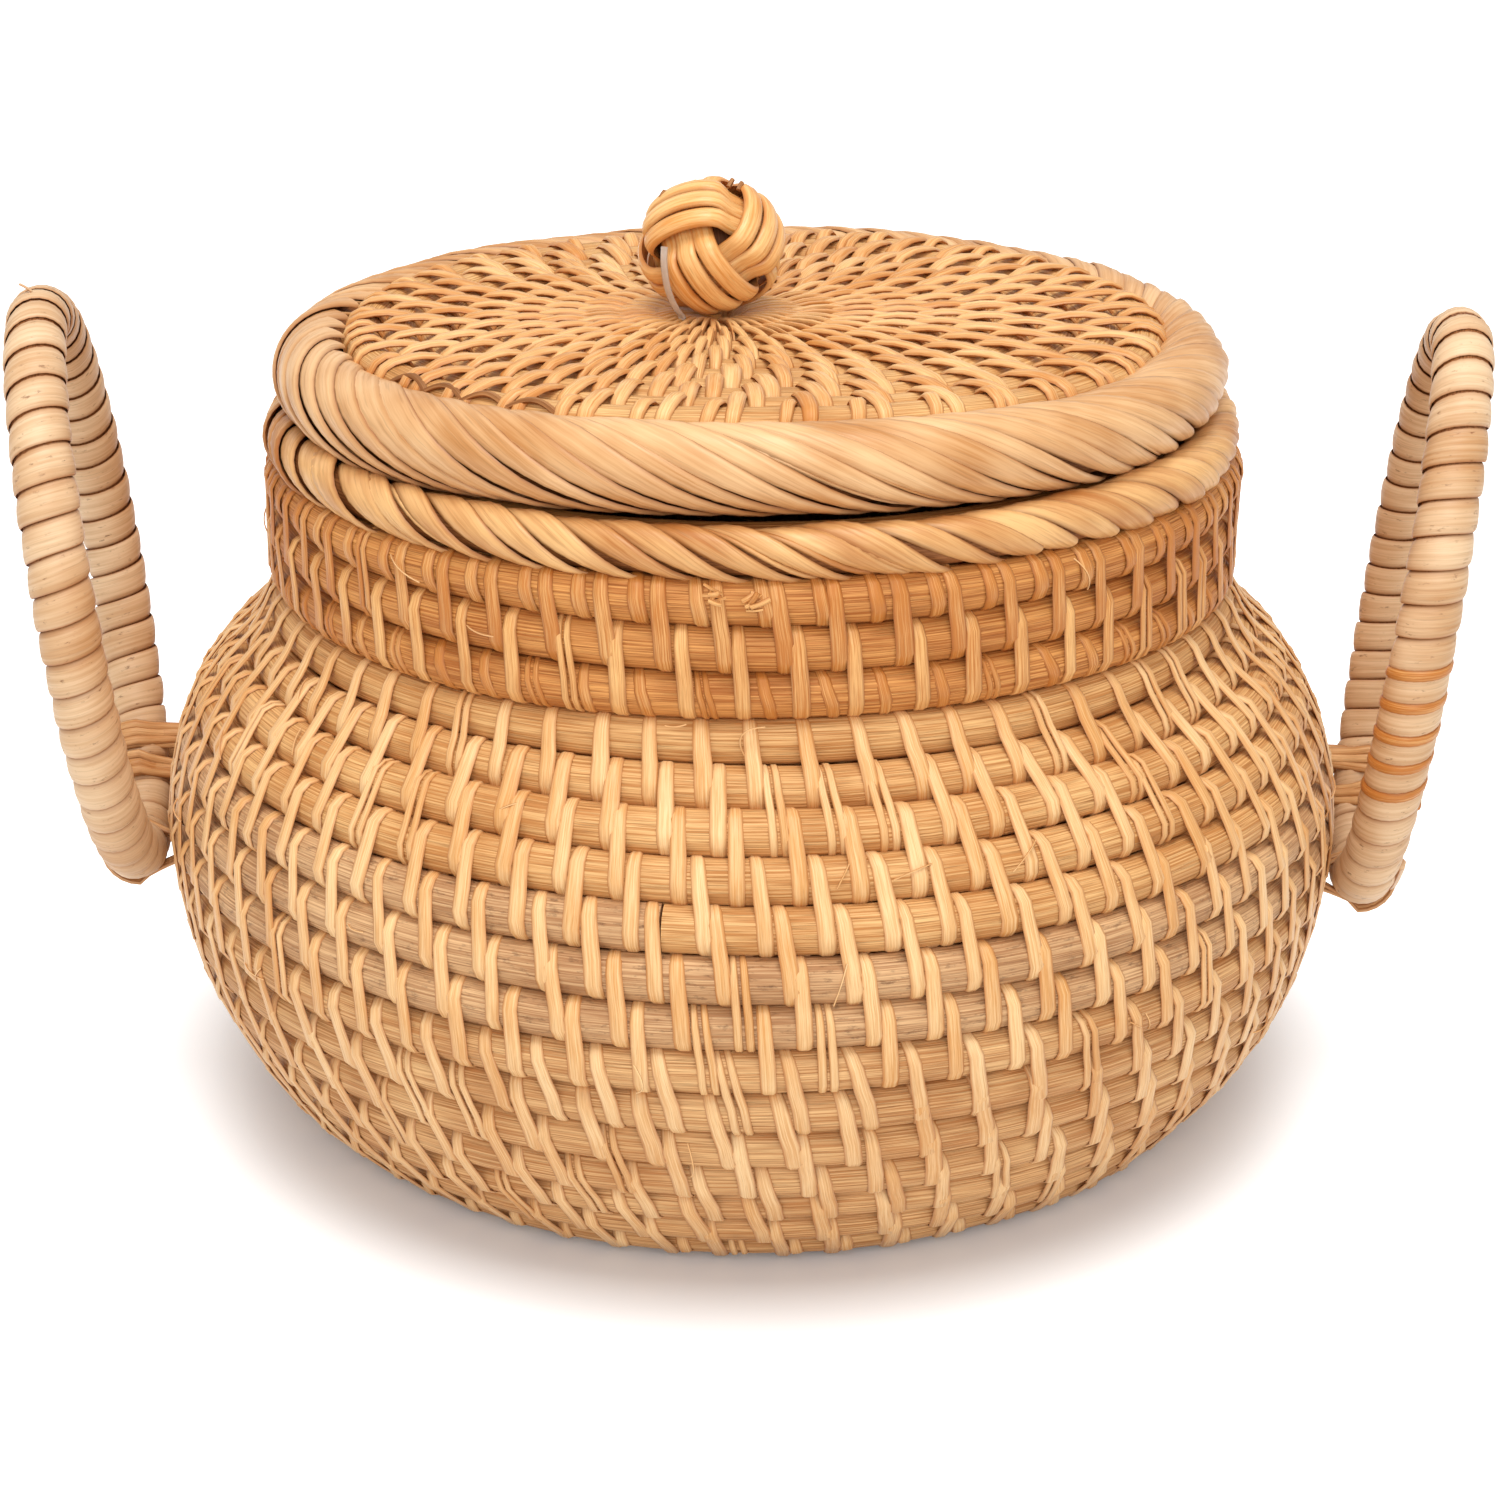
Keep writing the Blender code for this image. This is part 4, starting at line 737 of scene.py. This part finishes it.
def add_tie(word, place, hoop, degrees, count=6):
    """Loops in two layers: from a hole in the wall out to the hoop, half a circle round it,
    and back into the hole, drawn together and a little tangled on the way."""
    middles, _, _ = hoop_frame(np.array([degrees - 0.5, degrees, degrees + 0.5]), *hoop)
    middle, along = middles[1], unit(middles[2] - middles[0])
    swing = math.radians(hoop[3])
    back = -np.array([hoop[0] * math.cos(swing), -math.sin(swing), 0.0])
    sideways = unit(np.cross(along, back))
    back = unit(np.cross(sideways, along))
    radius, height, _ = wall_line(np.linspace(FIRST_BELLY_ROW, TOP_ROW - 3, 300))
    reach = np.linspace(0.0, 0.03, 301)
    track = middle + reach[:, None] * back
    inside = np.hypot(track[:, 0], track[:, 1]) < np.interp(track[:, 2], height, radius) - 0.001
    end = reach[np.argmax(inside)]
    around = np.radians(np.linspace(0.0, 180.0, 13))
    legs = np.linspace(1.0, 0.0, 7)[:-1]
    along_leg = np.concatenate([legs, 0.0 * around, legs[::-1]])
    across_leg = np.concatenate([1.0 + 0.0 * legs, np.cos(around), -1.0 + 0.0 * legs])
    beyond = np.concatenate([0.0 * legs, np.sin(around), 0.0 * legs])
    shift = np.repeat(TIE_SPREAD, 2)[:count, None] + rng.normal(0.0, 0.0001, (count, 1))
    bow = PEEL_OUTER + 0.0003 + np.tile([0.0, TIE_LIFT], 3)[:count, None]
    gather = np.clip(along_leg * 1.4, 0.0, 1.0) ** 0.7
    wide = bow * (1.0 - gather) + gather * (rng.uniform(0.0009, 0.0022, (count, 1)))
    tangle = shift * (1.0 - 0.5 * gather) + 0.0004 * gather * rng.normal(0.0, 1.0, (count, 1))
    path = (middle + tangle[..., None] * along + (wide * across_leg)[..., None] * sideways
            + (end * along_leg - bow * beyond)[..., None] * back)
    run_way = unit(np.gradient(path, axis=1))
    facing = unit(across_leg[:, None] * sideways - beyond[:, None] * back)
    side = unit(np.cross(facing, run_way))
    outlines = (path[:, :, None] + (TIE_HALF * LENS_ACROSS)[:, None] * side[:, :, None]
                + (TIE_THICKNESS * LENS_THROUGH)[:, None] * facing[:, None])
    lengths = 1000.0 * np.linspace(0.0, 0.03, path.shape[1]) + np.zeros((count, 1))
    add_splints(f"{word}_{place}_lashing", (outlines, lengths), rng.uniform(0.1, 0.7, count),
                TIE_SPLINT, f"{word}_{place}_tie_splint", "basket", f"{word}_{place}_tie",
                half_width=TIE_HALF)


for word, hoop, ties in (("left", LEFT_HOOP, (141.0, 152.0, 187.0)),
                         ("right", RIGHT_HOOP, (136.0, 148.0, 187.0))):
    for place, degrees in zip(("upper", "middle", "bottom"), ties):
        add_tie(word, place, hoop, degrees, 2 if place == "bottom" else 6)

# The lid's rim: a thicker rod, wrapped slantwise with flat splints that gape a little at its outer
# side, with a slim one in half of the gaps. It bows up at the front. At the left, a few splints
# end on its top, cut off short.
LID_LOW = np.array(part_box("lid_rim_rod")[0])
LID_ROD, LID_OUTER, LID_ADVANCE, LID_STRANDS = 0.0055, 0.0067, 0.072, 62
LID_RIM_RADIUS = RIM_RADIUS - 0.0051
LID_RIM_HEIGHT = LID_LOW[2] + LID_ROD * math.cos(math.pi / 8.0)
LID_BOW, LID_BOW_REACH = 0.0015, math.radians(60.0)
LID_WIDTH, LID_SLIM_WIDTH, LID_SLIM_SINK, LID_STATIONS = 0.0044, 0.0013, 0.0006, 25
LID_START, LID_END, LID_CUT_START, LID_CUT_LIFT = 226.0, -128.0, 112.0, 0.0004
LID_FIRST_CUT, LID_CUT_REACH, LID_WIDE_REACH, LID_WIDENING = 148.0, 36.0, 75.0, 1.1
LID_PLACES = (LID_END, -84.0, -58.0, -30.0, 5.0, 45.0, LID_START)
LID_SHARES = (0.5, 0.76, 0.76, 0.7, 0.83, 1.0, 1.0)


def lid_bow(angle):
    """How much the lid's rim stands up at an angle: half a cosine wave round the front."""
    from_front = np.abs((angle - 1.5 * math.pi + math.pi) % (2.0 * math.pi) - math.pi)
    share = np.clip(from_front / LID_BOW_REACH, 0.0, 1.0)
    return LID_BOW * 0.5 * (1.0 + np.cos(math.pi * share))


def lid_rim(angle):
    """Middle of the lid's rim at an angle, with the directions out and up."""
    out = np.stack([np.cos(angle), np.sin(angle), 0.0 * angle], axis=-1)
    height = LID_RIM_HEIGHT + lid_bow(angle)
    return LID_RIM_RADIUS * out + height[..., None] * UP, out, UP + 0.0 * out


LID_SPLINT = cane_finish("lid_splint", display(233, 187, 135), display(194, 134, 77),
                         edge_shade=display(140, 78, 34), length=0.045, **RIM_GRAIN)
ring_rod("lid_rim_core", lid_rim, LID_ROD - 0.0002, SHADED_ROD, "lid_rim_core", "lid", "lid_rim_rod")
slim = np.flatnonzero(rng.random(LID_STRANDS) < 0.5)
number = np.concatenate([np.arange(LID_STRANDS), slim + 0.5])
main = np.arange(len(number)) < LID_STRANDS
width = np.where(main, LID_WIDTH, LID_SLIM_WIDTH) * (1.0 + rng.normal(0.0, 0.09, len(number)))
lift = rng.uniform(-0.0002, 0.0003, len(number)) - LID_SLIM_SINK * ~main
angles = (number + rng.normal(0.0, 0.06, len(number))) * 2.0 * math.pi / LID_STRANDS
beyond = (angles - math.radians(LID_FIRST_CUT)) % (2.0 * math.pi)
cut = (beyond < math.radians(LID_CUT_REACH)) & main
width = width * np.where(beyond < math.radians(LID_WIDE_REACH), LID_WIDENING, 1.0)
tone = np.clip(rng.normal(0.28, 0.17, len(number)) + 0.3 * ~main, 0.0, 1.0)
for name, chosen, top, raised, nodes in (
        ("lid_rim_bundles", ~cut, LID_START, 0.0, ["lid_rim_binding"]),
        ("lid_rim_cut_ends", cut, LID_CUT_START, LID_CUT_LIFT, [])):
    turn = np.radians(np.linspace(top, LID_END, LID_STATIONS))
    begin = math.radians(LID_START - top) / (2.0 * math.pi) * LID_ADVANCE / LID_RIM_RADIUS
    batch = wrapped_outlines(lid_rim, angles[chosen] + begin, turn, width[chosen],
                             lift[chosen] + raised, LID_ADVANCE / LID_RIM_RADIUS,
                             LID_OUTER - WRAP_SINK, WRAP_THICKNESS, WRAP_TILT,
                             np.interp(np.degrees(turn), LID_PLACES, LID_SHARES))
    add_splints(name, batch, tone[chosen], LID_SPLINT, "lid_rim_splints", "lid", *nodes,
                half_width=0.0018, across=CROWN_ACROSS, edge_shade=CROWN_EDGE_SHADE)

# The lid's disc: a flat spiral of thinner cane rod, whose last turn lies on the rim's rod. It is
# stitched like the wall, but with splints that stand up in low arches over two rows, towards the
# middle. Where they run out, four dark loops show beside the rim.
LID_HOLE, LID_ASIDE, LID_LAST_ROW, LID_STITCHES = 0.005, -0.0066, 9, 37.36
RODS_APART, RODS_SLOPE = 0.0088, math.radians(147.0)
LID_LAST_RADIUS = LID_RIM_RADIUS + RODS_APART * math.cos(RODS_SLOPE)
LID_DISC_HEIGHT = LID_RIM_HEIGHT + RODS_APART * math.sin(RODS_SLOPE)
LID_PITCH = (LID_LAST_RADIUS - LID_HOLE) / LID_LAST_ROW
LID_COUNT_TURNS, LID_COUNTS = np.array([0.0, 11.0]), np.array([LID_STITCHES, LID_STITCHES])
LID_ROD_THROUGH, LID_STITCH_THICKNESS = 0.0022, 0.0009
LOOP_PLACES, LOOP_REACH = np.array([-142.0, -134.5, -127.0, -119.5]), np.linspace(-4.8, 4.8, 11)


def lid_rod(turns):
    """Middle of the disc's rod after some turns, with the directions outwards and up from it."""
    rows = np.minimum(rows_reached(turns), LID_LAST_ROW)
    radius = LID_LAST_RADIUS - (LID_LAST_ROW - rows) * LID_PITCH
    out = spiral_out(turns)
    bow = lid_bow(2.0 * math.pi * turns - math.pi / 2.0)
    height = LID_DISC_HEIGHT + bow * (radius / LID_LAST_RADIUS) ** 2 + wander(turns, 0.0003, 5.0)
    middle = radius[..., None] * out + height[..., None] * UP
    middle[..., 0] += LID_ASIDE / LID_LAST_RADIUS * (LID_LAST_RADIUS - radius)
    slope = np.arctan(2.0 * bow * radius / LID_LAST_RADIUS ** 2)[..., None]
    outwards = np.cos(slope) * out + np.sin(slope) * UP
    return middle, outwards, np.cos(slope) * UP - np.sin(slope) * out


def lid_half_pitch(turns):
    """Half the spiral's pitch at a turn: wider on the side that its middle is turned away from."""
    shift = LID_ASIDE / LID_LAST_RADIUS
    angle = 2.0 * math.pi * turns - math.pi / 2.0
    return 0.5 * LID_PITCH * (1.0 - shift * np.cos(angle)) + 0.00005


ROD_LID = cane_finish("cane_rod_lid", display(241, 195, 132), display(192, 131, 70), length=0.045,
                      streak=0.9, roughness=0.5, **ROD_GRAIN)
STITCH_LID = cane_finish("stitch_lid", display(245, 200, 138), display(208, 136, 66),
                         edge_shade=display(172, 100, 42), roughness=0.4)
add_rod("lid_disc_rod", lid_rod, 0.0, LID_LAST_ROW + 0.5, lid_half_pitch, LID_ROD_THROUGH, ROD_LID,
        "lid_rod", "lid", "lid_coil")
starts = stitch_starts(0.6, LID_LAST_ROW + 0.5, LID_COUNT_TURNS, LID_COUNTS)
starts, lean, width, aside = hand_laid(starts, 0.05, 0.0031, 0.06)
radius = np.linalg.norm(lid_rod(starts)[0][:, :2], axis=1)
width = width * np.clip(radius / 0.042, 0.36, 1.0)
batch = stitch_outlines(lid_rod, starts, lean, width, aside, across=lid_half_pitch(starts) + 0.0001,
                        through=LID_ROD_THROUGH + 0.0004, thickness=LID_STITCH_THICKNESS,
                        dip=-0.0004)
add_splints("lid_stitches", batch, np.clip(rng.normal(0.3, 0.2, len(starts)), 0.0, 1.0), STITCH_LID,
            "lid_rod", "lid")
starts = stitch_starts(LID_LAST_ROW + 0.5, LID_LAST_ROW + 1.5, LID_COUNT_TURNS, LID_COUNTS) - 1.0
starts, lean, width, aside = hand_laid(starts, 0.08, 0.0026, 0.0)
batch = stitch_outlines(lid_rod, starts, lean, width, aside, across=lid_half_pitch(starts) + 0.0002,
                        through=LID_ROD_THROUGH + 0.0007, thickness=LID_STITCH_THICKNESS,
                        short=True)
add_splints("lid_edge_stitches", batch, np.full(len(starts), 0.35), STITCH_LID, "lid_rod", "lid")
middle, out, up = lid_rim(np.radians(LOOP_PLACES[:, None] + LOOP_REACH))
arch = np.cos(LOOP_REACH / LOOP_REACH[-1] * math.pi / 2.0)
reach = LID_LAST_RADIUS - LID_RIM_RADIUS + 0.0031 - 0.0012 * arch
path = middle + reach[:, None] * out + (0.0051 + 0.0021 * arch)[:, None] * UP
LOOP_DARK = cane_finish("lid_dark_loop", display(186, 130, 78), display(140, 88, 44), roughness=0.6)
add_splints("lid_dark_loops", lens_outlines(path, up, 0.0006, 0.0008), rng.uniform(0.2, 0.8, 4),
            LOOP_DARK, "lid_rim_splints", "lid", half_width=0.0006)

# The seat ring: a flat cane hoop, set up under the lid's rim. It drops into the mouth and keeps the
# lid from sliding off.
SEAT_LOW, SEAT_HIGH = (np.array(corner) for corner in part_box("lid_seat_ring"))
SEAT_OUTER, SEAT_WIDTH, SEAT_DEPTH = SEAT_HIGH[0], 0.0032, SEAT_HIGH[2] - SEAT_LOW[2]


def seat_ring(angle):
    """Middle of the seat ring at an angle."""
    out = np.stack([np.cos(angle), np.sin(angle), 0.0 * angle], axis=-1)
    height = (SEAT_LOW[2] + SEAT_HIGH[2]) / 2.0
    return (SEAT_OUTER - SEAT_WIDTH / 2.0) * out + height * UP, out, UP + 0.0 * out


ring_rod("seat_ring_hoop", seat_ring, SEAT_DEPTH / 2.0, ROD_ORANGE, "seat_ring_rod", "lid",
         "lid_seat_ring", squeeze=SEAT_WIDTH / SEAT_DEPTH)

# The knob: three bands of three cane splints each, plaited over and under each other round a ball,
# with cut ends that show at its back. Its tails go down through the middle of the lid, to a knot.
KNOB_RADIUS, KNOB_FLATNESS, PLY_WIDTH, PLY_PITCH = 0.0123, 0.925, 0.0036, 0.0037
KNOB_WEAVE, KNOB_BAND_THICKNESS, KNOB_STEEPNESS = 0.0012, 0.0016, 2.8
PLY_THICKNESS, PLY_STATIONS, ROUND_SIDES = 0.0011, 72, 20
KNOB_CORNER = (0.16, -0.91, 0.37)
BALL_LOW, BALL_HIGH = (np.array(corner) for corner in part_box("knob_ball"))
KNOB_MIDDLE = (BALL_LOW + BALL_HIGH) / 2.0
KNOB_SPLINT = cane_finish("knob_splint", display(250, 206, 140), display(224, 152, 78),
                          edge_shade=display(170, 94, 34), roughness=0.3, fibre=2.6, patch=0.5)
KNOB_CORE = cane_finish("knob_core", display(150, 92, 44), display(110, 62, 26), roughness=0.6)


def knob_axes():
    """Directions square to the three bands, all as far from the corner where the bands meet."""
    corner = unit(np.array(KNOB_CORNER))
    right = unit(np.cross(UP, corner))
    up = np.cross(corner, right)
    around = np.radians([78.0, 198.0, 318.0])[:, None]
    round_corner = np.cos(around) * right + np.sin(around) * up
    return math.sqrt(1.0 / 3.0) * corner - math.sqrt(2.0 / 3.0) * round_corner


def ply_outlines(first, second):
    """Three splints side by side round the ball: a circle whose radius swings between the inner
    and the outer layer twice a round, moved across the band over the ball."""
    angle = np.arange(PLY_STATIONS) * 2.0 * math.pi / PLY_STATIONS
    middle_radius = KNOB_RADIUS - KNOB_WEAVE - KNOB_BAND_THICKNESS / 2.0
    swing = -KNOB_STEEPNESS * np.cos(2.0 * angle)
    radius = middle_radius + KNOB_WEAVE * np.tanh(1.4 * swing) + 0.0002
    out = np.cos(angle)[:, None] * first + np.sin(angle)[:, None] * second
    across = np.cross(first, second)
    place = np.array([-1.0, 0.0, 1.0])[:, None] * PLY_PITCH * (1.0 - 0.06 * np.sin(2.0 * angle) ** 2)
    tip = (place / middle_radius)[..., None]
    normal = np.cos(tip) * out + np.sin(tip) * across
    side = np.cos(tip) * across - np.sin(tip) * out
    path = radius[:, None] * normal
    shape = PLY_THICKNESS * CROWN_THROUGH
    outlines = (path[:, :, None] + (PLY_WIDTH / 2.0 * CROWN_ACROSS)[:, None] * side[:, :, None]
                + shape[:, None] * normal[:, :, None])
    return outlines * [1.0, 1.0, KNOB_FLATNESS] + KNOB_MIDDLE


axes = knob_axes()
for k, name in enumerate(("arch", "front", "side")):
    outlines = ply_outlines(axes[(k + 1) % 3], axes[(k + 2) % 3])
    lengths = np.linspace(0.0, 70.0, outlines.shape[1] + 1) + np.zeros((3, 1))
    add_splints(f"knob_{name}_plies", (outlines, lengths), np.array([0.3, 0.15, 0.35]), KNOB_SPLINT,
                f"knob_{name}_splints", "lid", f"knob_{name}_band", closed=True, half_width=0.0017,
                across=CROWN_ACROSS, edge_shade=CROWN_EDGE_SHADE)


KNOB_SIGHT = np.array([[1.0, 0.0, 0.0], [0.0, 0.36, 0.933], [0.0, -0.933, 0.36]])
STUBS = np.array([[[2.8, 8.7, 4.6], [3.2, 9.5, 4.4], [3.5, 10.0, 4.2]],
                  [[4.4, 8.2, 4.6], [4.7, 9.0, 4.4], [5.0, 9.5, 4.2]],
                  [[-8.3, 6.2, 3.6], [-8.0, 7.3, 3.8], [-7.3, 8.1, 3.6]]]) / 1000.0
path = free_curves(STUBS) @ KNOB_SIGHT + KNOB_MIDDLE
batch = lens_outlines(path, KNOB_SIGHT[2] + 0.0 * path, np.array([0.0004, 0.0004, 0.0006]), 0.0008)
add_splints("knob_cut_ends", batch, np.array([0.1, 0.1, 0.3]), LOOP_DARK, "knob_arch_splints", "lid",
            half_width=0.0005)


def round_piece(name, radii, heights, material, slot, body, node, axis):
    """A turned piece: a circle of each radius at each height round an upright axis."""
    around = np.arange(ROUND_SIDES) * 2.0 * math.pi / ROUND_SIDES
    ring = np.stack([np.cos(around), np.sin(around), 0.0 * around], axis=-1)
    outlines = axis + np.array(radii)[:, None, None] * ring + np.array(heights)[:, None, None] * UP
    piece = strips(name, outlines[None], 1000.0 * np.array(heights)[None],
                   np.linspace(0.0, 2000.0 * math.pi * max(radii), ROUND_SIDES + 1),
                   np.array([0.5]), np.zeros(ROUND_SIDES))
    lay_in(piece, material, slot, body, node)


tilt = np.radians(np.linspace(-88.0, 88.0, 17))
half_ball = (BALL_HIGH - BALL_LOW) / 2.0
round_piece("knob_inner_ball", half_ball[0] * np.cos(tilt), half_ball[2] * np.sin(tilt), KNOB_CORE,
            "knob_core", "lid", "knob_ball", KNOB_MIDDLE)
TAIL_LOW, TAIL_HIGH = (np.array(corner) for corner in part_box("knob_lashing"))
tail_axis = (TAIL_LOW + TAIL_HIGH) / 2.0 * [1.0, 1.0, 0.0]
knot = TAIL_LOW[2] + np.array([0.0, 0.0003, 0.0009, 0.0018, 0.0024, 0.0027])
round_piece("knob_tails_knot", [0.0022, 0.003, 0.0034, 0.0033, 0.0027, 0.0016, 0.0016],
            np.append(knot, TAIL_HIGH[2]), KNOB_SPLINT, "knob_tails", "lid", "knob_lashing",
            tail_axis)

# A clear plastic thread, from the knob's left side down to the lid. It is 15 mm long, taut and
# fixed at both ends.
THREAD_RADIUS, THREAD_SIDE, THREAD_ARC = 0.0005, unit(np.array([-0.57, -0.82, 0.0])), (9.0, -52.0)


def clear_finish():
    """Slightly milky clear plastic."""
    material = bpy.data.materials.new("clear_thread")
    material.use_nodes = True
    tree = material.node_tree
    shader = tree.nodes["Principled BSDF"]
    place = add_node(tree, "ShaderNodeTexCoord").outputs["Object"]
    cloud = add_node(tree, "ShaderNodeTexNoise", {"Vector": place, "Scale": 700.0, "Detail": 2.0})
    colour = add_mix(tree, cloud.outputs["Fac"], display(236, 222, 208), display(206, 186, 168))
    tree.links.new(colour, shader.inputs["Base Color"])
    shader.inputs["Roughness"].default_value = 0.22
    shader.inputs["Transmission Weight"].default_value = 0.35
    return material


around_ball = np.radians(np.linspace(*THREAD_ARC, 24))
reach = KNOB_RADIUS + 0.0003 + THREAD_RADIUS
path = KNOB_MIDDLE + reach * (np.cos(around_ball)[:, None] * THREAD_SIDE
                              + np.sin(around_ball)[:, None] * UP)
foot = path[-1] * [1.0, 1.0, 0.0] + 0.0004 * THREAD_SIDE
foot = foot + (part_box("knob_thread")[0][2] + 0.0004) * UP
path = np.concatenate([path, path[-1] + (foot - path[-1]) * np.linspace(0.25, 1.0, 4)[:, None]])
run_way = unit(np.gradient(path, axis=0))
across = np.tile(np.cross(THREAD_SIDE, UP), (len(path), 1))
around = np.arange(10) * 2.0 * math.pi / 10
through = np.cross(run_way, across)
outlines = path[:, None] + THREAD_RADIUS * (1.3 * np.cos(around)[:, None] * across[:, None]
                                            + 0.8 * np.sin(around)[:, None] * through[:, None])
piece = strips("clear_thread_strand", outlines[None], np.linspace(0.0, 15.0, len(path))[None],
               np.linspace(0.0, 3.0, 11), np.array([0.5]), np.zeros(10))
lay_in(piece, clear_finish(), "clear_thread", "lid", "knob_thread")

# Stage: a white floor under soft light from above and in front, and the camera at the photo's angle.
CAMERA_PLACE, CAMERA_TILT, LENS_MM, SHIFT_X = (0.0, -0.524, 0.258), 68.9, 78.0, -0.00133
SHADOW_HALVES, FLOOR_HALF, LAMP_AIM = (1.0 / 10.2, 1.0 / 9.26), 3.0, (0.0, 0.0, 0.07)


def stage_floor():
    """A wide white floor. To the camera it glows, little within an ellipse round the basket and
    strongly beyond it, so that it shows white with a light shadow."""
    material = bpy.data.materials.new("white_floor")
    material.use_nodes = True
    tree = material.node_tree
    tree.nodes.remove(tree.nodes["Principled BSDF"])
    paths = add_node(tree, "ShaderNodeLightPath").outputs
    seen = add_maths(tree, "MAXIMUM", paths["Is Camera Ray"], paths["Is Glossy Ray"])
    seen = add_maths(tree, "MAXIMUM", seen, paths["Is Transmission Ray"])
    plain = add_node(tree, "ShaderNodeBsdfDiffuse", {"Color": (0.82, 0.81, 0.8, 1.0)})
    faint = add_node(tree, "ShaderNodeBsdfDiffuse", {"Color": (0.76, 0.755, 0.755, 1.0)})
    place = add_node(tree, "ShaderNodeTexCoord").outputs["Object"]
    scaled = add_node(tree, "ShaderNodeVectorMath",
                      {0: place, 1: (1.0 / SHADOW_HALVES[0], 1.0 / SHADOW_HALVES[1], 0.0)},
                      operation="MULTIPLY")
    far = add_node(tree, "ShaderNodeVectorMath", {0: scaled.outputs[0]}, operation="LENGTH")
    added = add_node(tree, "ShaderNodeMapRange", {"Value": far.outputs["Value"], 1: 0.8, 2: 1.2,
                                                  3: 0.08, 4: 0.8}, interpolation_type="SMOOTHSTEP")
    glow = add_node(tree, "ShaderNodeEmission", {"Color": (1.0, 1.0, 1.0, 1.0),
                                                 "Strength": added.outputs[0]})
    white = add_node(tree, "ShaderNodeAddShader", {0: faint.outputs[0], 1: glow.outputs[0]})
    both = add_node(tree, "ShaderNodeMixShader", {0: seen, 1: plain.outputs[0],
                                                  2: white.outputs[0]})
    tree.links.new(both.outputs[0], tree.nodes["Material Output"].inputs["Surface"])
    mesh = bpy.data.meshes.new("floor")
    corners = FLOOR_HALF * np.array([[-1.0, -1.0, 0.0], [1.0, -1.0, 0.0], [1.0, 1.0, 0.0],
                                     [-1.0, 1.0, 0.0]])
    mesh.from_pydata(corners.tolist(), [], [(0, 1, 2, 3)])
    mesh.materials.append(material)
    floor = bpy.data.objects.new("floor", mesh)
    bpy.context.scene.collection.objects.link(floor)


def stage_world():
    """A soft sky: white to the camera, dimmer as light."""
    world = bpy.data.worlds.new("soft_sky")
    world.use_nodes = True
    tree = world.node_tree
    paths = add_node(tree, "ShaderNodeLightPath").outputs
    seen = add_maths(tree, "MAXIMUM", paths["Is Camera Ray"], paths["Is Transmission Ray"])
    level = add_range(tree, seen, 0.0, 1.0, 0.66, 1.0)
    background = tree.nodes["Background"]
    background.inputs["Color"].default_value = (1.0, 1.0, 1.0, 1.0)
    tree.links.new(level, background.inputs["Strength"])
    bpy.context.scene.world = world


def stage_lamp(name, place, size, power):
    """A square soft lamp that faces the basket's middle."""
    lamp = bpy.data.lights.new(name, "AREA")
    lamp.shape, lamp.size, lamp.energy = "SQUARE", size, power
    holder = bpy.data.objects.new(name, lamp)
    holder.location = place
    aim = unit(np.array(LAMP_AIM) - np.array(place))
    flat = math.hypot(aim[0], aim[1])
    holder.rotation_euler = (math.atan2(flat, -aim[2]), 0.0, math.atan2(-aim[0], aim[1]))
    bpy.context.scene.collection.objects.link(holder)


stage_floor()
stage_world()
stage_lamp("top_lamp", (0.0, -0.3, 1.2), 0.6, 8.2)
stage_lamp("front_lamp", (0.0, -1.3, 0.8), 0.7, 6.8)
camera = bpy.data.objects.new("camera", bpy.data.cameras.new("camera"))
camera.location = CAMERA_PLACE
camera.rotation_euler = (math.radians(CAMERA_TILT), 0.0, 0.0)
camera.data.lens, camera.data.shift_x = LENS_MM, SHIFT_X
bpy.context.scene.collection.objects.link(camera)
bpy.context.scene.camera = camera
bpy.context.scene.view_settings.view_transform = "Standard"
